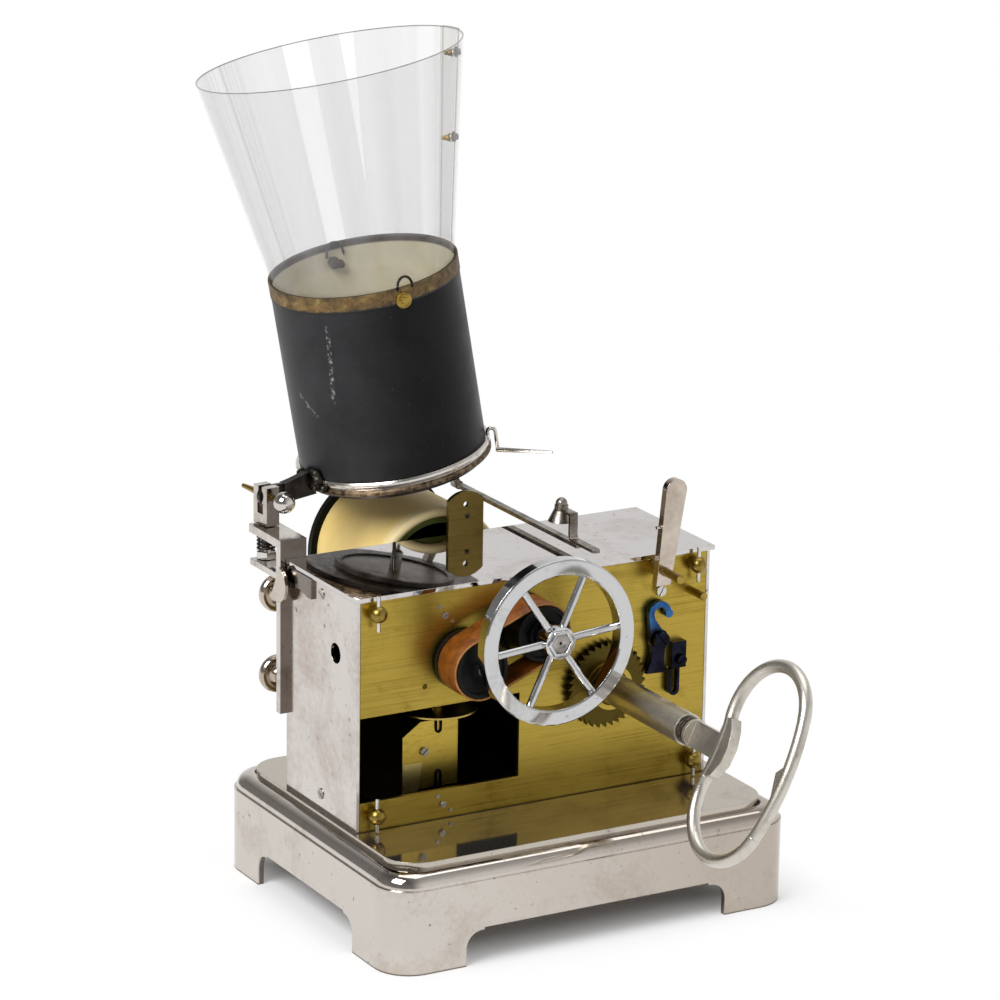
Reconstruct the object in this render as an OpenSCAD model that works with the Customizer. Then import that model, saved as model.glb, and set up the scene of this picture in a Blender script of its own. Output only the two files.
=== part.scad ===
// Table phonograph with a clockwork motor, a cylinder record and an upright horn.
// Origin: centre of the base on the table. +X right, +Y to the back, +Z up. Millimetres.

/* [Base] */
// Width of the base at its skirt
base_w = 183; // [178:1:195]
// Depth of the base at its skirt
base_d = 148.5; // [144:0.5:158]
// Height from the table to the deck
base_h = 43; // [40:1:48]
// Plan radius of the base corners
base_corner_r = 15; // [13:1:18]
// Radius of the rolled moulding
roll_r = 6; // [5:0.5:7]
// Ledge between the skirt and the rolled moulding
ledge = 0.8; // [0.5:0.1:1.5]
// Thickness of the deck plate on the moulding
deck_t = 2.6; // [1.6:0.2:3.4]
// Plan radius of the deck corners
deck_corner_r = 14; // [9:1:16]
// Wall of the skirt
skirt_wall = 2.6; // [2:0.2:3.5]
// Height of the arches between the feet
arch_h = 15; // [10:0.5:18]
// Half length of the front and back arches
arch_half_w = 59; // [50:1:66]
// Half length of the side arches
arch_half_d = 41; // [30:1:46]

/* [Case] */
// Width of the motor case
case_w = 160; // [156:1:164]
// Depth of the motor case
case_d = 60; // [56:1:66]
// Height of the motor case
case_h = 96; // [94:1:104]
// Shift of the case to the left of the centre of the base
case_left = 2.5; // [0:0.5:5]
// Shift of the case behind the centre of the base
case_shift = 3.25; // [0:0.25:8]
// Thickness of the brass plates
brass_t = 2; // [1.6:0.1:2.4]
// Thickness of the end plates
end_t = 1.5; // [1:0.1:2]
// Thickness of the top plate
top_t = 1.8; // [1.2:0.1:2.4]
// Height of the arched tab above the case
tab_h = 18; // [12:1:19]
// Width of the arched tab
tab_w = 16; // [12:1:20]

/* [Motor] */
// Radius of the flywheel
wheel_r = 33.6; // [30:0.2:35]
// Number of flywheel spokes
spokes = 6; // [4:1:8]
// Radius of the pulleys under the belt
pulley_r = 11.2; // [10:0.2:12]
// Width of the leather belt
belt_w = 13.8; // [10:0.2:14]
// Thickness of the leather belt
belt_t = 0.9; // [0.7:0.1:1.2]
// Radius of the spring barrel
barrel_r = 37; // [33:0.5:37.5]
// Number of ratchet teeth
ratchet_n = 36; // [30:6:48]
// Radius of the ratchet wheel
ratchet_r = 18; // [16:0.5:18.5]
// Radius of the friction disc of the governor
disc_r = 17; // [14:0.5:17.5]

/* [Key] */
// Distance from the front plate to the bow of the key
key_reach = 88.5; // [80:0.5:95]
// Height of the bow between the middles of its rod
bow_h = 78.6; // [70:0.2:84]
// Radius of the bow's rod
bow_rod_r = 2.6; // [2:0.05:3]
// Lean of the bow from the vertical
bow_lean = 25.5; // [0:0.5:45]

/* [Record] */
// Radius of the record cylinder
record_r = 29.2; // [28:0.1:29.5]
// Length of the record cylinder
record_l = 52.5; // [46:0.5:56]

/* [Horn] */
// Lean of the horn toward the left
lean = 10.4; // [6:0.1:14]
// Radius of the black tube
tube_r = 38.2; // [36:0.1:39]
// Height of the top of the tube above the record axis
tube_top = 129.2; // [115:0.2:140]
// Height of the rim of the clear horn above the record axis
flare_top = 216.4; // [200:0.2:230]
// Radius of the rim of the clear horn
flare_r = 53.7; // [50:0.1:58]
// Slope of the rim of the clear horn, lower at the back
rim_slope = 5.5; // [0:0.1:6]
// Number of curls of the spindle spring
curls = 4; // [3:1:4]

/* [Hidden] */
$fn = 64;

// Radial play of a running shaft
play = 0.05;
// Free space between pieces that move past each other
gap = 0.3;

// Faces of the case
case_x = -case_left;
left_x = case_x - case_w / 2;
right_x = case_x + case_w / 2;
left_in = left_x + end_t;
right_in = right_x - end_t;
front_y = case_shift - case_d / 2;
back_y = case_shift + case_d / 2;
deck_z = base_h;
top_z = base_h + case_h;
under_top = top_z - top_t;
front_in = front_y + brass_t;
back_in = back_y - brass_t;
skirt_h = base_h - deck_t - roll_r;
roll_in = ledge + roll_r;

// Axis of the mandrel, flywheel and record
axis_x = case_x - 7.2;
axis_z = base_h + 76.5;
arbor_r = 3;
// Axis of the driving pulley
pulley_x = case_x - 34.3;
pulley_z = base_h + 65.5;
pulley_back = front_y - 1.3;
pulley_front = pulley_back - belt_w - 3;
wheel_back = pulley_front - 6.5;
wheel_front = wheel_back - 6.5;
// Axis of the winding arbor
key_x = case_x + 31;
key_z = base_h + 45.5;
wind_r = 4;
// Tooth counts of the train
great_n = 72;
inter_pinion_n = 10;
inter_n = 44;
pulley_pinion_n = 12;
gov_gear_n = 30;
great_m = 1.11;
great_pr = great_m * great_n / 2;
inter_dist = great_m * (great_n + inter_pinion_n) / 2;
inter_x = key_x - inter_dist * cos(8);
inter_z = key_z + inter_dist * sin(8);
inter_to_pulley = norm([pulley_x - inter_x, pulley_z - inter_z]);
train_m = 2 * inter_to_pulley / (inter_n + pulley_pinion_n);
inter_pr = train_m * inter_n / 2;
pinion_pr = train_m * pulley_pinion_n / 2;
gov_gear_pr = train_m * gov_gear_n / 2;
// Governor axis and the axis of the wheel that turns it
gov_x = case_x - 34.5;
gov_y = front_y + 19;
gov_wheel_x = pulley_x - (pinion_pr + gov_gear_pr) * cos(31);
gov_wheel_z = pulley_z - (pinion_pr + gov_gear_pr) * sin(31);
worm_r = 2.2;
worm_wheel_r = gov_x - gov_wheel_x - worm_r - gap;
disc_z = deck_z + 39.7;
gov_top = deck_z + 60.3;
// Angles of the lines of centres
great_to_inter = atan2(inter_z - key_z, inter_x - key_x);
inter_to_pul = atan2(pulley_z - inter_z, pulley_x - inter_x);
pul_to_gov = atan2(gov_wheel_z - pulley_z, gov_wheel_x - pulley_x);
pinion_phase = inter_to_pul + 180 + 180 / pulley_pinion_n;
pinion_step = 360 / pulley_pinion_n;
pinion_off = (pinion_phase - pul_to_gov) - pinion_step * round((pinion_phase - pul_to_gov) / pinion_step);
gov_gear_phase = pul_to_gov + 180 - pinion_off * pulley_pinion_n / gov_gear_n + 180 / gov_gear_n;
// Pillars
pillar_xs = [left_x + 7.4, right_x - 7.4];
pillar_low = deck_z + 7;
pillar_high = top_z - 6.2;
ball_r = 3.45;
ball_y = front_y - 3.5;
// Window notch in the front plate
win_right = axis_x;
win_low = deck_z + 12;
win_high = deck_z + 47;
// Ratchet work
ratchet_back = front_y - 1;
ratchet_front = ratchet_back - 2.5;
click_x = case_x + 55;
click_z = key_z + 15.5;
bank_z = click_z + 19.6;
// Start lever
stud_x = case_x + 53.6;
stud_z = top_z - 5;
lever_y = front_y - 5.6;
lever_t = 3.4;
// Record and mandrel
record_y = back_y + 6;
record_end = record_y + record_l;
bore_r = record_r - 1.5;
lip_r = record_r - 4;
// Horn frame: its axis stands radially on the record
horn_y = record_y + 25;
ring_z = record_r + 15.9;
ring_h = 5.8;
ring_r = tube_r + 1.5;
ring_lip = 0.3;
tube_in = tube_r - 1;
// Rear bracket and pivot
post_x0 = left_x - 2.8;
post_x1 = left_x + 8.7;
post_t = 3.6;
post_top = top_z + 7.6;
arm_t = 2.6;
upper_arm_t = 3.4;
spindle_x = (post_x0 + post_x1) / 2;
spindle_y = back_y + 24;
spindle_r = 2;
pin_z = post_top + 12;
pin_r = 1.3;
ring_cx = axis_x - (ring_z + 2.5) * sin(lean);
arm_yaw = atan2(horn_y - spindle_y, ring_cx - spindle_x);
// Feed bar
bar_x = case_x + 26.4;
bar_z = top_z + 3.6;
bar_t = 1.6;
bar_front = front_y + 12.4;
bar_back = horn_y + 24.3;
// Spring of the spindle
wire_r = 0.5;
coil_r = 3.5;
lower_arm = post_top - 14.1;
nut_h = 2.8;
nut_z = lower_arm + gap;
coil_low = nut_z + nut_h + wire_r;
coil_high = post_top - upper_arm_t - gap - wire_r;
// Turn and width of the overlapped seam of the clear horn
seam_at = -12.5;
seam_w = 16;
seam_t = 0.7;
// Turn of the slope of the rim from the back toward the right
rim_turn = 9.4;
// Length of the clear sheet inside the tube
sheet_lap = 11;
// Heights of the two thumb screws
thumb_zs = [lower_arm - 13, lower_arm - 47];
post_low = thumb_zs[1] - 11;

// Round bar along Y
module bar_y(x, z, y0, y1, r) {
    translate([x, y0, z]) rotate([-90, 0, 0]) cylinder(h = y1 - y0, r = r);
}

// Flat outline in X and Z made thick between two depths
module plate_xz(y0, y1) {
    translate([0, y1, 0]) rotate([90, 0, 0]) linear_extrude(height = y1 - y0) children();
}

// Flat outline in Y and Z made thick between two widths
module plate_yz(x0, x1) {
    translate([x0, 0, 0]) rotate([90, 0, 90]) linear_extrude(height = x1 - x0) children();
}

// Rectangle with round corners
module round_rect(w, d, r) {
    union() {
        square([w - 2 * r, d], center = true);
        square([w, d - 2 * r], center = true);
        for (sx = [-1, 1], sy = [-1, 1]) translate([sx * (w / 2 - r), sy * (d / 2 - r)]) circle(r);
    }
}

// Slab with round corners between two heights
module slab(inset, z0, z1, r) {
    translate([0, 0, z0]) linear_extrude(height = z1 - z0)
        round_rect(base_w - 2 * inset, base_d - 2 * inset, r);
}

// Arch outline, open below: round upper corners that end in a small step
module arch(half, high, r) {
    step = 0.9;
    low = high - step;
    union() {
        translate([-half, -1]) square([2 * half, low - r + 1]);
        translate([-half + r, -1]) square([2 * (half - r), low + 1]);
        translate([-half + r + step, -1]) square([2 * (half - r - step), high + 1]);
        for (s = [-1, 1]) translate([s * (half - r), low - r]) circle(r);
    }
}

// Slotted screw head, its face toward -Y, seated at depth y
module slot_head(x, z, y, r, h, turn) {
    translate([x, y, z]) rotate([90, 0, 0]) difference() {
        cylinder(h = h, r = r);
        rotate([0, 0, turn]) translate([-r - 1, -r * 0.14, h * 0.5]) cube([2 * r + 2, r * 0.28, h]);
    }
}

// Outline of a spur gear with one tooth centred on the phase angle
function gear_points(n, pr, m, phase) = [
    for (i = [0:n - 1], k = [0:3])
        let (step = 360 / n)
        let (a = phase + i * step + [-0.26, -0.11, 0.11, 0.26][k] * step)
        let (r = (k == 0 || k == 3) ? pr - m : pr + 0.7 * m)
        [r * cos(a), r * sin(a)]
];

// Place for the pieces of the horn: local Z runs up the horn from the record axis
module horn_place() {
    translate([axis_x, horn_y, axis_z]) rotate([0, -lean, 0]) children();
}

// Place for the pieces of the swivel: local X runs along the horn arm
module swivel_place() {
    translate([spindle_x, spindle_y, 0]) rotate([0, 0, arm_yaw]) children();
}

module base_shell() {
    corner = base_corner_r - roll_in;
    half_w = base_w / 2 - base_corner_r;
    half_d = base_d / 2 - base_corner_r;
    roll_top = skirt_h + roll_r;
    foot_r = 7;
    color("silver") difference() {
        union() {
            slab(0, 0, skirt_h, base_corner_r);
            slab(roll_in, skirt_h - 1, roll_top, corner);
            for (s = [-1, 1]) {
                translate([-half_w, s * (base_d / 2 - roll_in), skirt_h]) rotate([0, 90, 0])
                    cylinder(h = 2 * half_w, r = roll_r);
                translate([s * (base_w / 2 - roll_in), -half_d, skirt_h]) rotate([-90, 0, 0])
                    cylinder(h = 2 * half_d, r = roll_r);
            }
            for (sx = [-1, 1], sy = [-1, 1]) translate([sx * half_w, sy * half_d, skirt_h])
                rotate_extrude() translate([corner, 0]) circle(roll_r);
        }
        slab(skirt_wall, -1, skirt_h - 2.4, base_corner_r - skirt_wall);
        slab(roll_in + 1.5, skirt_h - 3, roll_top + 1, corner - 1.5);
        rotate([90, 0, 0]) linear_extrude(height = base_d + 20, center = true) arch(arch_half_w, arch_h, foot_r);
        rotate([90, 0, 90]) linear_extrude(height = base_w + 20, center = true) arch(arch_half_d, arch_h, foot_r);
    }
}

module base_top() {
    color("gainsboro") slab(roll_in + 0.3, skirt_h + roll_r, base_h, deck_corner_r);
}

module left_end_plate() {
    peep = [case_shift - case_d / 5, deck_z + 0.71875 * case_h];
    peep_r = 4.1;
    color("lightgray") difference() {
        translate([left_x, front_y, deck_z]) cube([end_t, case_d, under_top - deck_z]);
        translate([left_x - 1, peep[0], peep[1]]) rotate([0, 90, 0]) cylinder(h = end_t + 2, r = peep_r);
        for (z = [pillar_low, pillar_high]) translate([left_x - 1, case_shift, z]) rotate([0, 90, 0])
            cylinder(h = end_t + 2, r = 1.2);
    }
}

module right_end_plate() {
    color("lightgray") difference() {
        translate([right_in, front_y, deck_z]) cube([end_t, case_d, under_top - deck_z]);
        for (z = [pillar_low, pillar_high]) translate([right_in - 1, case_shift, z]) rotate([0, 90, 0])
            cylinder(h = end_t + 2, r = 1.2);
    }
}

module front_plate() {
    color("darkgoldenrod") difference() {
        translate([left_in, front_y, deck_z]) cube([right_in - left_in, brass_t, under_top - deck_z]);
        translate([left_in - 1, front_y - 1, win_low]) cube([win_right - left_in + 1, brass_t + 2, win_high - win_low]);
        bar_y(axis_x, axis_z, front_y - 1, front_in + 1, arbor_r + play);
        bar_y(pulley_x, pulley_z, front_y - 1, front_in + 1, 2 + play);
        bar_y(key_x, key_z, front_y - 1, front_in + 1, wind_r + play);
        bar_y(inter_x, inter_z, front_y - 1, front_in + 1, 1.2 + play);
        bar_y(gov_wheel_x, gov_wheel_z, front_y - 1, front_in + 1, 1 + play);
        bar_y(click_x, click_z, front_y - 1, front_in + 1, 1.8);
        bar_y(stud_x, stud_z, front_y - 1, front_in + 1, 1.75);
        for (x = pillar_xs, z = [pillar_low, pillar_high]) bar_y(x, z, front_y - 1, front_in + 1, 2.2);
    }
}

module back_plate() {
    tab_top = top_z + tab_h;
    arc_r = tab_w * 0.6875;
    color("goldenrod") difference() {
        union() {
            translate([left_in, back_in, deck_z]) cube([right_in - left_in, brass_t, under_top - deck_z]);
            translate([case_x - tab_w / 2, back_in, under_top - 1]) cube([tab_w, brass_t, tab_h - 2.4 + top_t]);
            intersection() {
                translate([case_x - tab_w / 2, back_in, under_top]) cube([tab_w, brass_t, tab_h + 20]);
                bar_y(case_x, tab_top - arc_r, back_in, back_y, arc_r);
            }
        }
        bar_y(case_x, tab_top - 5.5, back_in - 1, back_y + 1, 1.2);
        bar_y(axis_x, axis_z, back_in - 1, back_y + 1, arbor_r + play);
        bar_y(pulley_x, pulley_z, back_in - 1, back_y + 1, 1.2 + play);
        bar_y(key_x, key_z, back_in - 1, back_y + 1, 2.5 + play);
        bar_y(inter_x, inter_z, back_in - 1, back_y + 1, 1.2 + play);
        bar_y(gov_wheel_x, gov_wheel_z, back_in - 1, back_y + 1, 1 + play);
        for (x = pillar_xs, z = [pillar_low, pillar_high]) bar_y(x, z, back_in - 1, back_y + 1, 3);
        for (z = thumb_zs) bar_y(spindle_x + 1.5, z, back_in - 1, back_y + 1, 1.5);
    }
}

module top_plate() {
    left_lip = 0.8;
    right_lip = 2;
    lip = 0.6;
    color("whitesmoke") difference() {
        translate([left_x - left_lip, front_y - lip, under_top])
            cube([case_w + left_lip + right_lip, case_d + 2 * lip, top_t]);
        translate([case_x - tab_w / 2, back_in, under_top - 1]) cube([tab_w, brass_t + 2, top_t + 2]);
    }
}

module pillars() {
    color("peru") for (x = pillar_xs, z = [pillar_low, pillar_high]) difference() {
        union() {
            bar_y(x, z, front_in, back_in, 4.1);
            bar_y(x, z, back_in - 1, back_y, 3);
            bar_y(x, z, ball_y, front_in + 1, 2.2);
            translate([x, ball_y, z]) sphere(ball_r);
        }
        translate([x, ball_y, z - 10]) cylinder(h = 20, r = 0.8);
        translate([x, case_shift, z]) rotate([0, sign(x - case_x) * 90, 0]) cylinder(h = 8, r = 1.2);
    }
}

module taper_pins() {
    color("dimgray") for (x = pillar_xs, z = [pillar_low, pillar_high]) {
        low = min(7, z - deck_z - 0.4);
        translate([x, ball_y, z - low]) cylinder(h = low + 7.4, r = 0.8);
    }
}

// Screws with flat heads that lie almost flush on the end plates
module end_screws() {
    head_h = 0.4;
    color("slategray") for (s = [-1, 1], z = [pillar_low, pillar_high])
        translate([case_x + s * case_w / 2, case_shift, z]) rotate([0, s * 90, 0]) union() {
            difference() {
                cylinder(h = head_h, r = 2.2);
                rotate([0, 0, 65]) translate([-4, -0.35, head_h / 2]) cube([8, 0.7, 2]);
            }
            translate([0, 0, -7]) cylinder(h = 7.2, r = 1.2);
        }
}

module spring_barrel() {
    y0 = front_in + 5;
    y1 = y0 + 25;
    color("khaki") union() {
        difference() {
            bar_y(key_x, key_z, y0, y1, barrel_r);
            bar_y(key_x, key_z, y0 + 2, y1 - 2, barrel_r - 1.5);
            bar_y(key_x, key_z, y0 - 1, y1 + 1, wind_r + play);
        }
        difference() {
            translate([key_x, y1 + 2.5, key_z]) rotate([90, 0, 0]) linear_extrude(height = 2.5)
                polygon(gear_points(great_n, great_pr, great_m, great_to_inter));
            bar_y(key_x, key_z, y1 - 1, y1 + 4, wind_r + play);
        }
    }
}

// Spiral of the mainspring, inner end first
function spiral(r0, r1, turns, t) =
    let (n = turns * 24)
    concat(
        [for (i = [0:n]) let (r = r0 + (r1 - r0) * i / n + t / 2, a = i * 15) [r * cos(a), r * sin(a)]],
        [for (i = [n:-1:0]) let (r = r0 + (r1 - r0) * i / n - t / 2, a = i * 15) [r * cos(a), r * sin(a)]]
    );

module mainspring() {
    y0 = front_in + 8;
    color("steelblue") translate([key_x, y0 + 19, key_z]) rotate([90, 0, 0]) linear_extrude(height = 19)
        polygon(spiral(6.5, barrel_r - 1.9, 9, 0.8));
}

module winding_arbor() {
    color("gray") union() {
        bar_y(key_x, key_z, ratchet_front - 3, back_in, wind_r);
        bar_y(key_x, key_z, back_in - 1, back_y, 2.5);
        translate([key_x - 2.7, ratchet_front - 34, key_z - 2.7]) cube([5.4, 32, 5.4]);
    }
}

module ratchet_wheel() {
    step = 360 / ratchet_n;
    teeth = [for (i = [0:ratchet_n - 1], k = [0, 1])
        let (a = (i + 0.08 * k) * step, r = ratchet_r - 2.2 * k)
        [r * cos(a), r * sin(a)]];
    color("saddlebrown") difference() {
        union() {
            translate([key_x, ratchet_back, key_z]) rotate([90, 0, 0]) linear_extrude(height = 2.5) polygon(teeth);
            bar_y(key_x, key_z, ratchet_front - 4.4, ratchet_back, 9.2);
        }
        bar_y(key_x, key_z, ratchet_front - 5, ratchet_back + 1, wind_r);
        bar_y(key_x, key_z, ratchet_front - 5, ratchet_front - 0.4, 7.2);
    }
}

// Round rod bent to an arc in the plane of the bow
module bow_arc(cx, cy, r, a0, a1, rod) {
    translate([cx, cy, 0]) rotate([0, 0, a0]) rotate_extrude(angle = a1 - a0)
        translate([r, 0]) circle(r = rod, $fn = 32);
}

module winding_key() {
    blade_l = 18.5;
    collar_l = 5;
    barrel_r = 6.4;
    barrel_back = ratchet_front - 0.4;
    collar_front = front_y - key_reach + blade_l;
    barrel_front = collar_front + collar_l;
    square_w = 5.4;
    dent_r = 22;
    // Bow: two lobes joined by a far arc and a shallow near arc, all tangent
    lobe_r = 21.8;
    lobe_c = [20, bow_h / 2 - lobe_r];
    far_v = 44.4;
    near_v = 0.4;
    far_r = (pow(far_v - lobe_c[0], 2) + pow(lobe_c[1], 2) - pow(lobe_r, 2)) / (2 * (far_v - lobe_c[0] - lobe_r));
    near_d = lobe_c[0] - near_v;
    near_r = (pow(near_d, 2) + pow(lobe_c[1], 2) - pow(lobe_r, 2)) / (2 * (lobe_r - near_d));
    far_a = atan2(lobe_c[1], lobe_c[0] - far_v + far_r);
    near_a = atan2(lobe_c[1], near_d + near_r);
    // The two slimmer arcs run a little into the lobes
    far_lap = 57 / far_r;
    near_lap = 57 / near_r;
    color("silver") union() {
        difference() {
            bar_y(key_x, key_z, barrel_front, barrel_back, barrel_r);
            translate([key_x - square_w / 2, ratchet_front - 35, key_z - square_w / 2]) cube([square_w, 40, square_w]);
            bar_y(key_x, key_z, ratchet_front - 3, barrel_back + 1, wind_r);
            translate([key_x, barrel_front + 17, key_z]) rotate([0, 12, 0])
                translate([-10, 0, barrel_r - 0.6 + dent_r]) rotate([0, 90, 0]) cylinder(h = 20, r = dent_r);
        }
        bar_y(key_x, key_z, collar_front, barrel_front + 0.5, 4.7);
        bar_y(key_x, key_z, barrel_front - 2.6, barrel_front - 1.2, 5.7);
        bar_y(key_x, key_z, collar_front - 0.6, barrel_front - 3.8, 5.7);
        translate([key_x, front_y - key_reach, key_z]) rotate([0, bow_lean - 90, 0]) rotate([0, 0, -90]) union() {
            translate([-blade_l - 0.6, -5.2, -2]) cube([20, 10.4, 4]);
            bow_arc(far_v - far_r, 0, far_r, -far_a - far_lap, far_a + far_lap, bow_rod_r - 0.1);
            bow_arc(lobe_c[0], lobe_c[1], lobe_r, far_a, 180 + near_a, bow_rod_r);
            bow_arc(lobe_c[0], -lobe_c[1], lobe_r, 180 - near_a, 360 - far_a, bow_rod_r);
            bow_arc(near_v - near_r, 0, near_r, -near_a - near_lap, near_a + near_lap, bow_rod_r - 0.1);
            translate([0, 0, -2.3]) linear_extrude(height = 4.6) polygon([[-1.6, -8], [0.5, -12.5], [3.4, -11],
                [6.6, -5], [7, 2], [5, 8.5], [2.4, 12.5], [-0.6, 12], [-1.6, 8]]);
            translate([0, 0, -1.4]) linear_extrude(height = 2.8) polygon([[far_v - 5.4, 2], [far_v - 1, 6.5],
                [far_v - 1, -12]]);
        }
    }
}

module click() {
    scroll = [click_x + 0.3, click_z + 10.6];
    tip = [key_x + (ratchet_r + 0.45) * cos(5), key_z + (ratchet_r + 0.45) * sin(5)];
    color("midnightblue") difference() {
        union() {
            bar_y(click_x, click_z, ratchet_front, ratchet_back, 4.2);
            plate_xz(ratchet_front + 0.1, ratchet_back - 0.1) polygon([tip, [click_x + 3.2, tip[1] - 0.4],
                [click_x + 2.6, click_z - 8], [click_x + 2.9, click_z - 5], [click_x + 4.1, click_z - 1],
                [click_x - 3.6, click_z - 2], [click_x - 3.1, click_z - 5.5], [click_x - 3.5, click_z - 9]]);
            plate_xz(ratchet_front + 0.2, ratchet_back - 0.2) difference() {
                translate(scroll) circle(5.2);
                translate(scroll) circle(2.7);
                translate([scroll[0] - 2.4, scroll[1] - 6]) square([9, 6]);
            }
            bar_y(scroll[0] + 4.2, scroll[1] - 0.4, ratchet_front, ratchet_back, 1.7);
            plate_xz(ratchet_front + 0.1, ratchet_back - 0.1) polygon([[scroll[0] - 5, scroll[1] - 1],
                [scroll[0] - 2.9, scroll[1] - 1], [click_x + 2.2, click_z + 2.6], [click_x - 3.9, click_z + 1]]);
        }
        bar_y(click_x, click_z, ratchet_front - 1, ratchet_back + 1, 1.8 + play);
    }
}

module click_screw() {
    color("royalblue") union() {
        slot_head(click_x, click_z, ratchet_front - gap, 3.5, 2.2, -50);
        bar_y(click_x, click_z, ratchet_front - gap - 0.5, front_in, 1.8);
        difference() {
            bar_y(click_x, click_z, ratchet_back + gap, front_y, 3);
            bar_y(click_x, click_z, ratchet_back, front_y + 1, 1.7);
        }
    }
}

// Hairpin spring: a screwed block, a leg down, a bend and a leg up beside the click
module click_spring() {
    y0 = front_y - 3.2;
    bx = click_x + 9.6;
    low = key_z - 7;
    color("darkslateblue") difference() {
        union() {
            translate([bx - 3.1, y0, key_z + 2]) cube([6.6, 3.2, 11]);
            plate_xz(y0, y0 + 2.4) union() {
                translate([bx - 0.6, low]) square([1.2, key_z + 4 - low]);
                translate([bx - 4.2, low]) square([1.2, key_z + 2 - low]);
                translate([bx - 1.8, low]) difference() {
                    circle(2.4);
                    circle(1.2);
                    translate([-4, 0]) square([8, 4]);
                }
            }
        }
        bar_y(bx + 0.9, key_z + 5.5, y0 - 1, front_y + 1, 1.2);
    }
}

module plate_screws() {
    color("cornflowerblue") {
        union() {
            slot_head(click_x + 10.5, key_z + 5.5, front_y - 3.2, 2.1, 1.6, 35);
            bar_y(click_x + 10.5, key_z + 5.5, front_y - 4, front_y, 1.2);
        }
        slot_head(click_x + 1.5, bank_z, front_y, 2.2, 2.2, 60);
    }
}

module start_lever() {
    head = [stud_x + 4.4, stud_z + 33];
    head_r = 4.7;
    foot = stud_z - 5.6;
    pin_x = stud_x - 3.7;
    color("gainsboro") union() {
        difference() {
            plate_xz(lever_y - lever_t, lever_y) union() {
                translate(head) circle(head_r);
                polygon([[stud_x - 4, foot], [stud_x + 2.6, foot], [head[0] + head_r, head[1]],
                    [head[0] - head_r, head[1]]]);
            }
            bar_y(stud_x, stud_z, lever_y - lever_t - 1, lever_y + 1, 1.75 + play);
        }
        translate([pin_x, lever_y - lever_t / 2, stud_z + 18.4]) rotate([0, 90, 0]) cylinder(h = 4, r = 0.7);
    }
}

module brass_studs() {
    color("sienna") {
        union() {
            bar_y(stud_x, stud_z, front_y - 20.8, front_in, 1.75);
            bar_y(stud_x, stud_z, lever_y + gap, front_y, 3.3);
        }
        bar_y(stud_x + 17.5, stud_z - 12.4, front_y - 10.6, front_y, 1.6);
    }
}

module mandrel_arbor() {
    color("darkgray") bar_y(axis_x, axis_z, wheel_front, record_end + 8, arbor_r);
}

module flywheel() {
    mid = (wheel_front + wheel_back) / 2;
    rim = wheel_r - 6.2;
    color("ghostwhite") difference() {
        union() {
            translate([axis_x, mid, axis_z]) rotate([90, 0, 0]) rotate_extrude($fn = 96)
                polygon([[rim, -3.25], [wheel_r - 0.5, -3.25], [wheel_r, -2.6], [wheel_r, 2.6],
                    [wheel_r - 0.6, 3.1], [rim + 0.6, 3.25], [rim, 2.7]]);
            bar_y(axis_x, axis_z, wheel_front, pulley_front - 0.6, 6.5);
            for (i = [0:spokes - 1]) translate([axis_x, mid, axis_z]) rotate([0, -5 - i * 360 / spokes, 0])
                rotate([0, 90, 0]) cylinder(h = rim + 1, r = 1.55);
        }
        bar_y(axis_x, axis_z, wheel_front - 1, pulley_front, arbor_r);
    }
}

// Black pulley with a rear flange and a dished front
module pulley(x, z, hub) {
    difference() {
        union() {
            bar_y(x, z, pulley_front, pulley_back, pulley_r);
            bar_y(x, z, pulley_back - 2, pulley_back, pulley_r + belt_t + gap - 0.1);
        }
        bar_y(x, z, pulley_front - 1, pulley_back + 1, hub);
        difference() {
            bar_y(x, z, pulley_front - 1, pulley_front + 1.2, pulley_r - 1.4);
            bar_y(x, z, pulley_front - 2, pulley_front + 2, hub + 1.6);
        }
    }
}

module mandrel_pulley() {
    color("black") pulley(axis_x, axis_z, arbor_r);
}

module drive_pulley() {
    color("black") pulley(pulley_x, pulley_z, 2);
}

// Leather loop: two half rings round the pulleys and two straight runs
module drive_belt() {
    inner = pulley_r + gap;
    span = norm([axis_x - pulley_x, axis_z - pulley_z]);
    rise = atan2(axis_z - pulley_z, axis_x - pulley_x);
    color("chocolate") translate([pulley_x, pulley_front + 0.2, pulley_z]) rotate([0, -rise, 0]) union() {
        for (end = [0, 1]) translate([end * span, 0, 0]) rotate([-90, 0, 0]) rotate([0, 0, 90 - 180 * end])
            rotate_extrude(angle = 180) translate([inner, 0]) square([belt_t, belt_w]);
        for (z = [inner, -inner - belt_t]) translate([0, 0, z]) cube([span, belt_w, belt_t]);
    }
}

module pulley_arbor() {
    y0 = back_in - 14.5;
    color("gray") union() {
        bar_y(pulley_x, pulley_z, pulley_front + 0.8, back_in - gap, 2);
        bar_y(pulley_x, pulley_z, back_in - 1, back_y, 1.2);
        translate([pulley_x, y0 + 4.5, pulley_z]) rotate([90, 0, 0]) linear_extrude(height = 4.5)
            polygon(gear_points(pulley_pinion_n, pinion_pr, train_m, pinion_phase));
    }
}

module intermediate_arbor() {
    y0 = front_in + 29;
    color("gray") union() {
        bar_y(inter_x, inter_z, front_in + gap, back_in - gap, 2);
        bar_y(inter_x, inter_z, front_y, back_y, 1.2);
        translate([inter_x, y0 + 4.5, inter_z]) rotate([90, 0, 0]) linear_extrude(height = 4.5)
            polygon(gear_points(inter_pinion_n, inter_dist - great_pr, great_m,
                great_to_inter + 180 + 180 / inter_pinion_n));
    }
}

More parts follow.
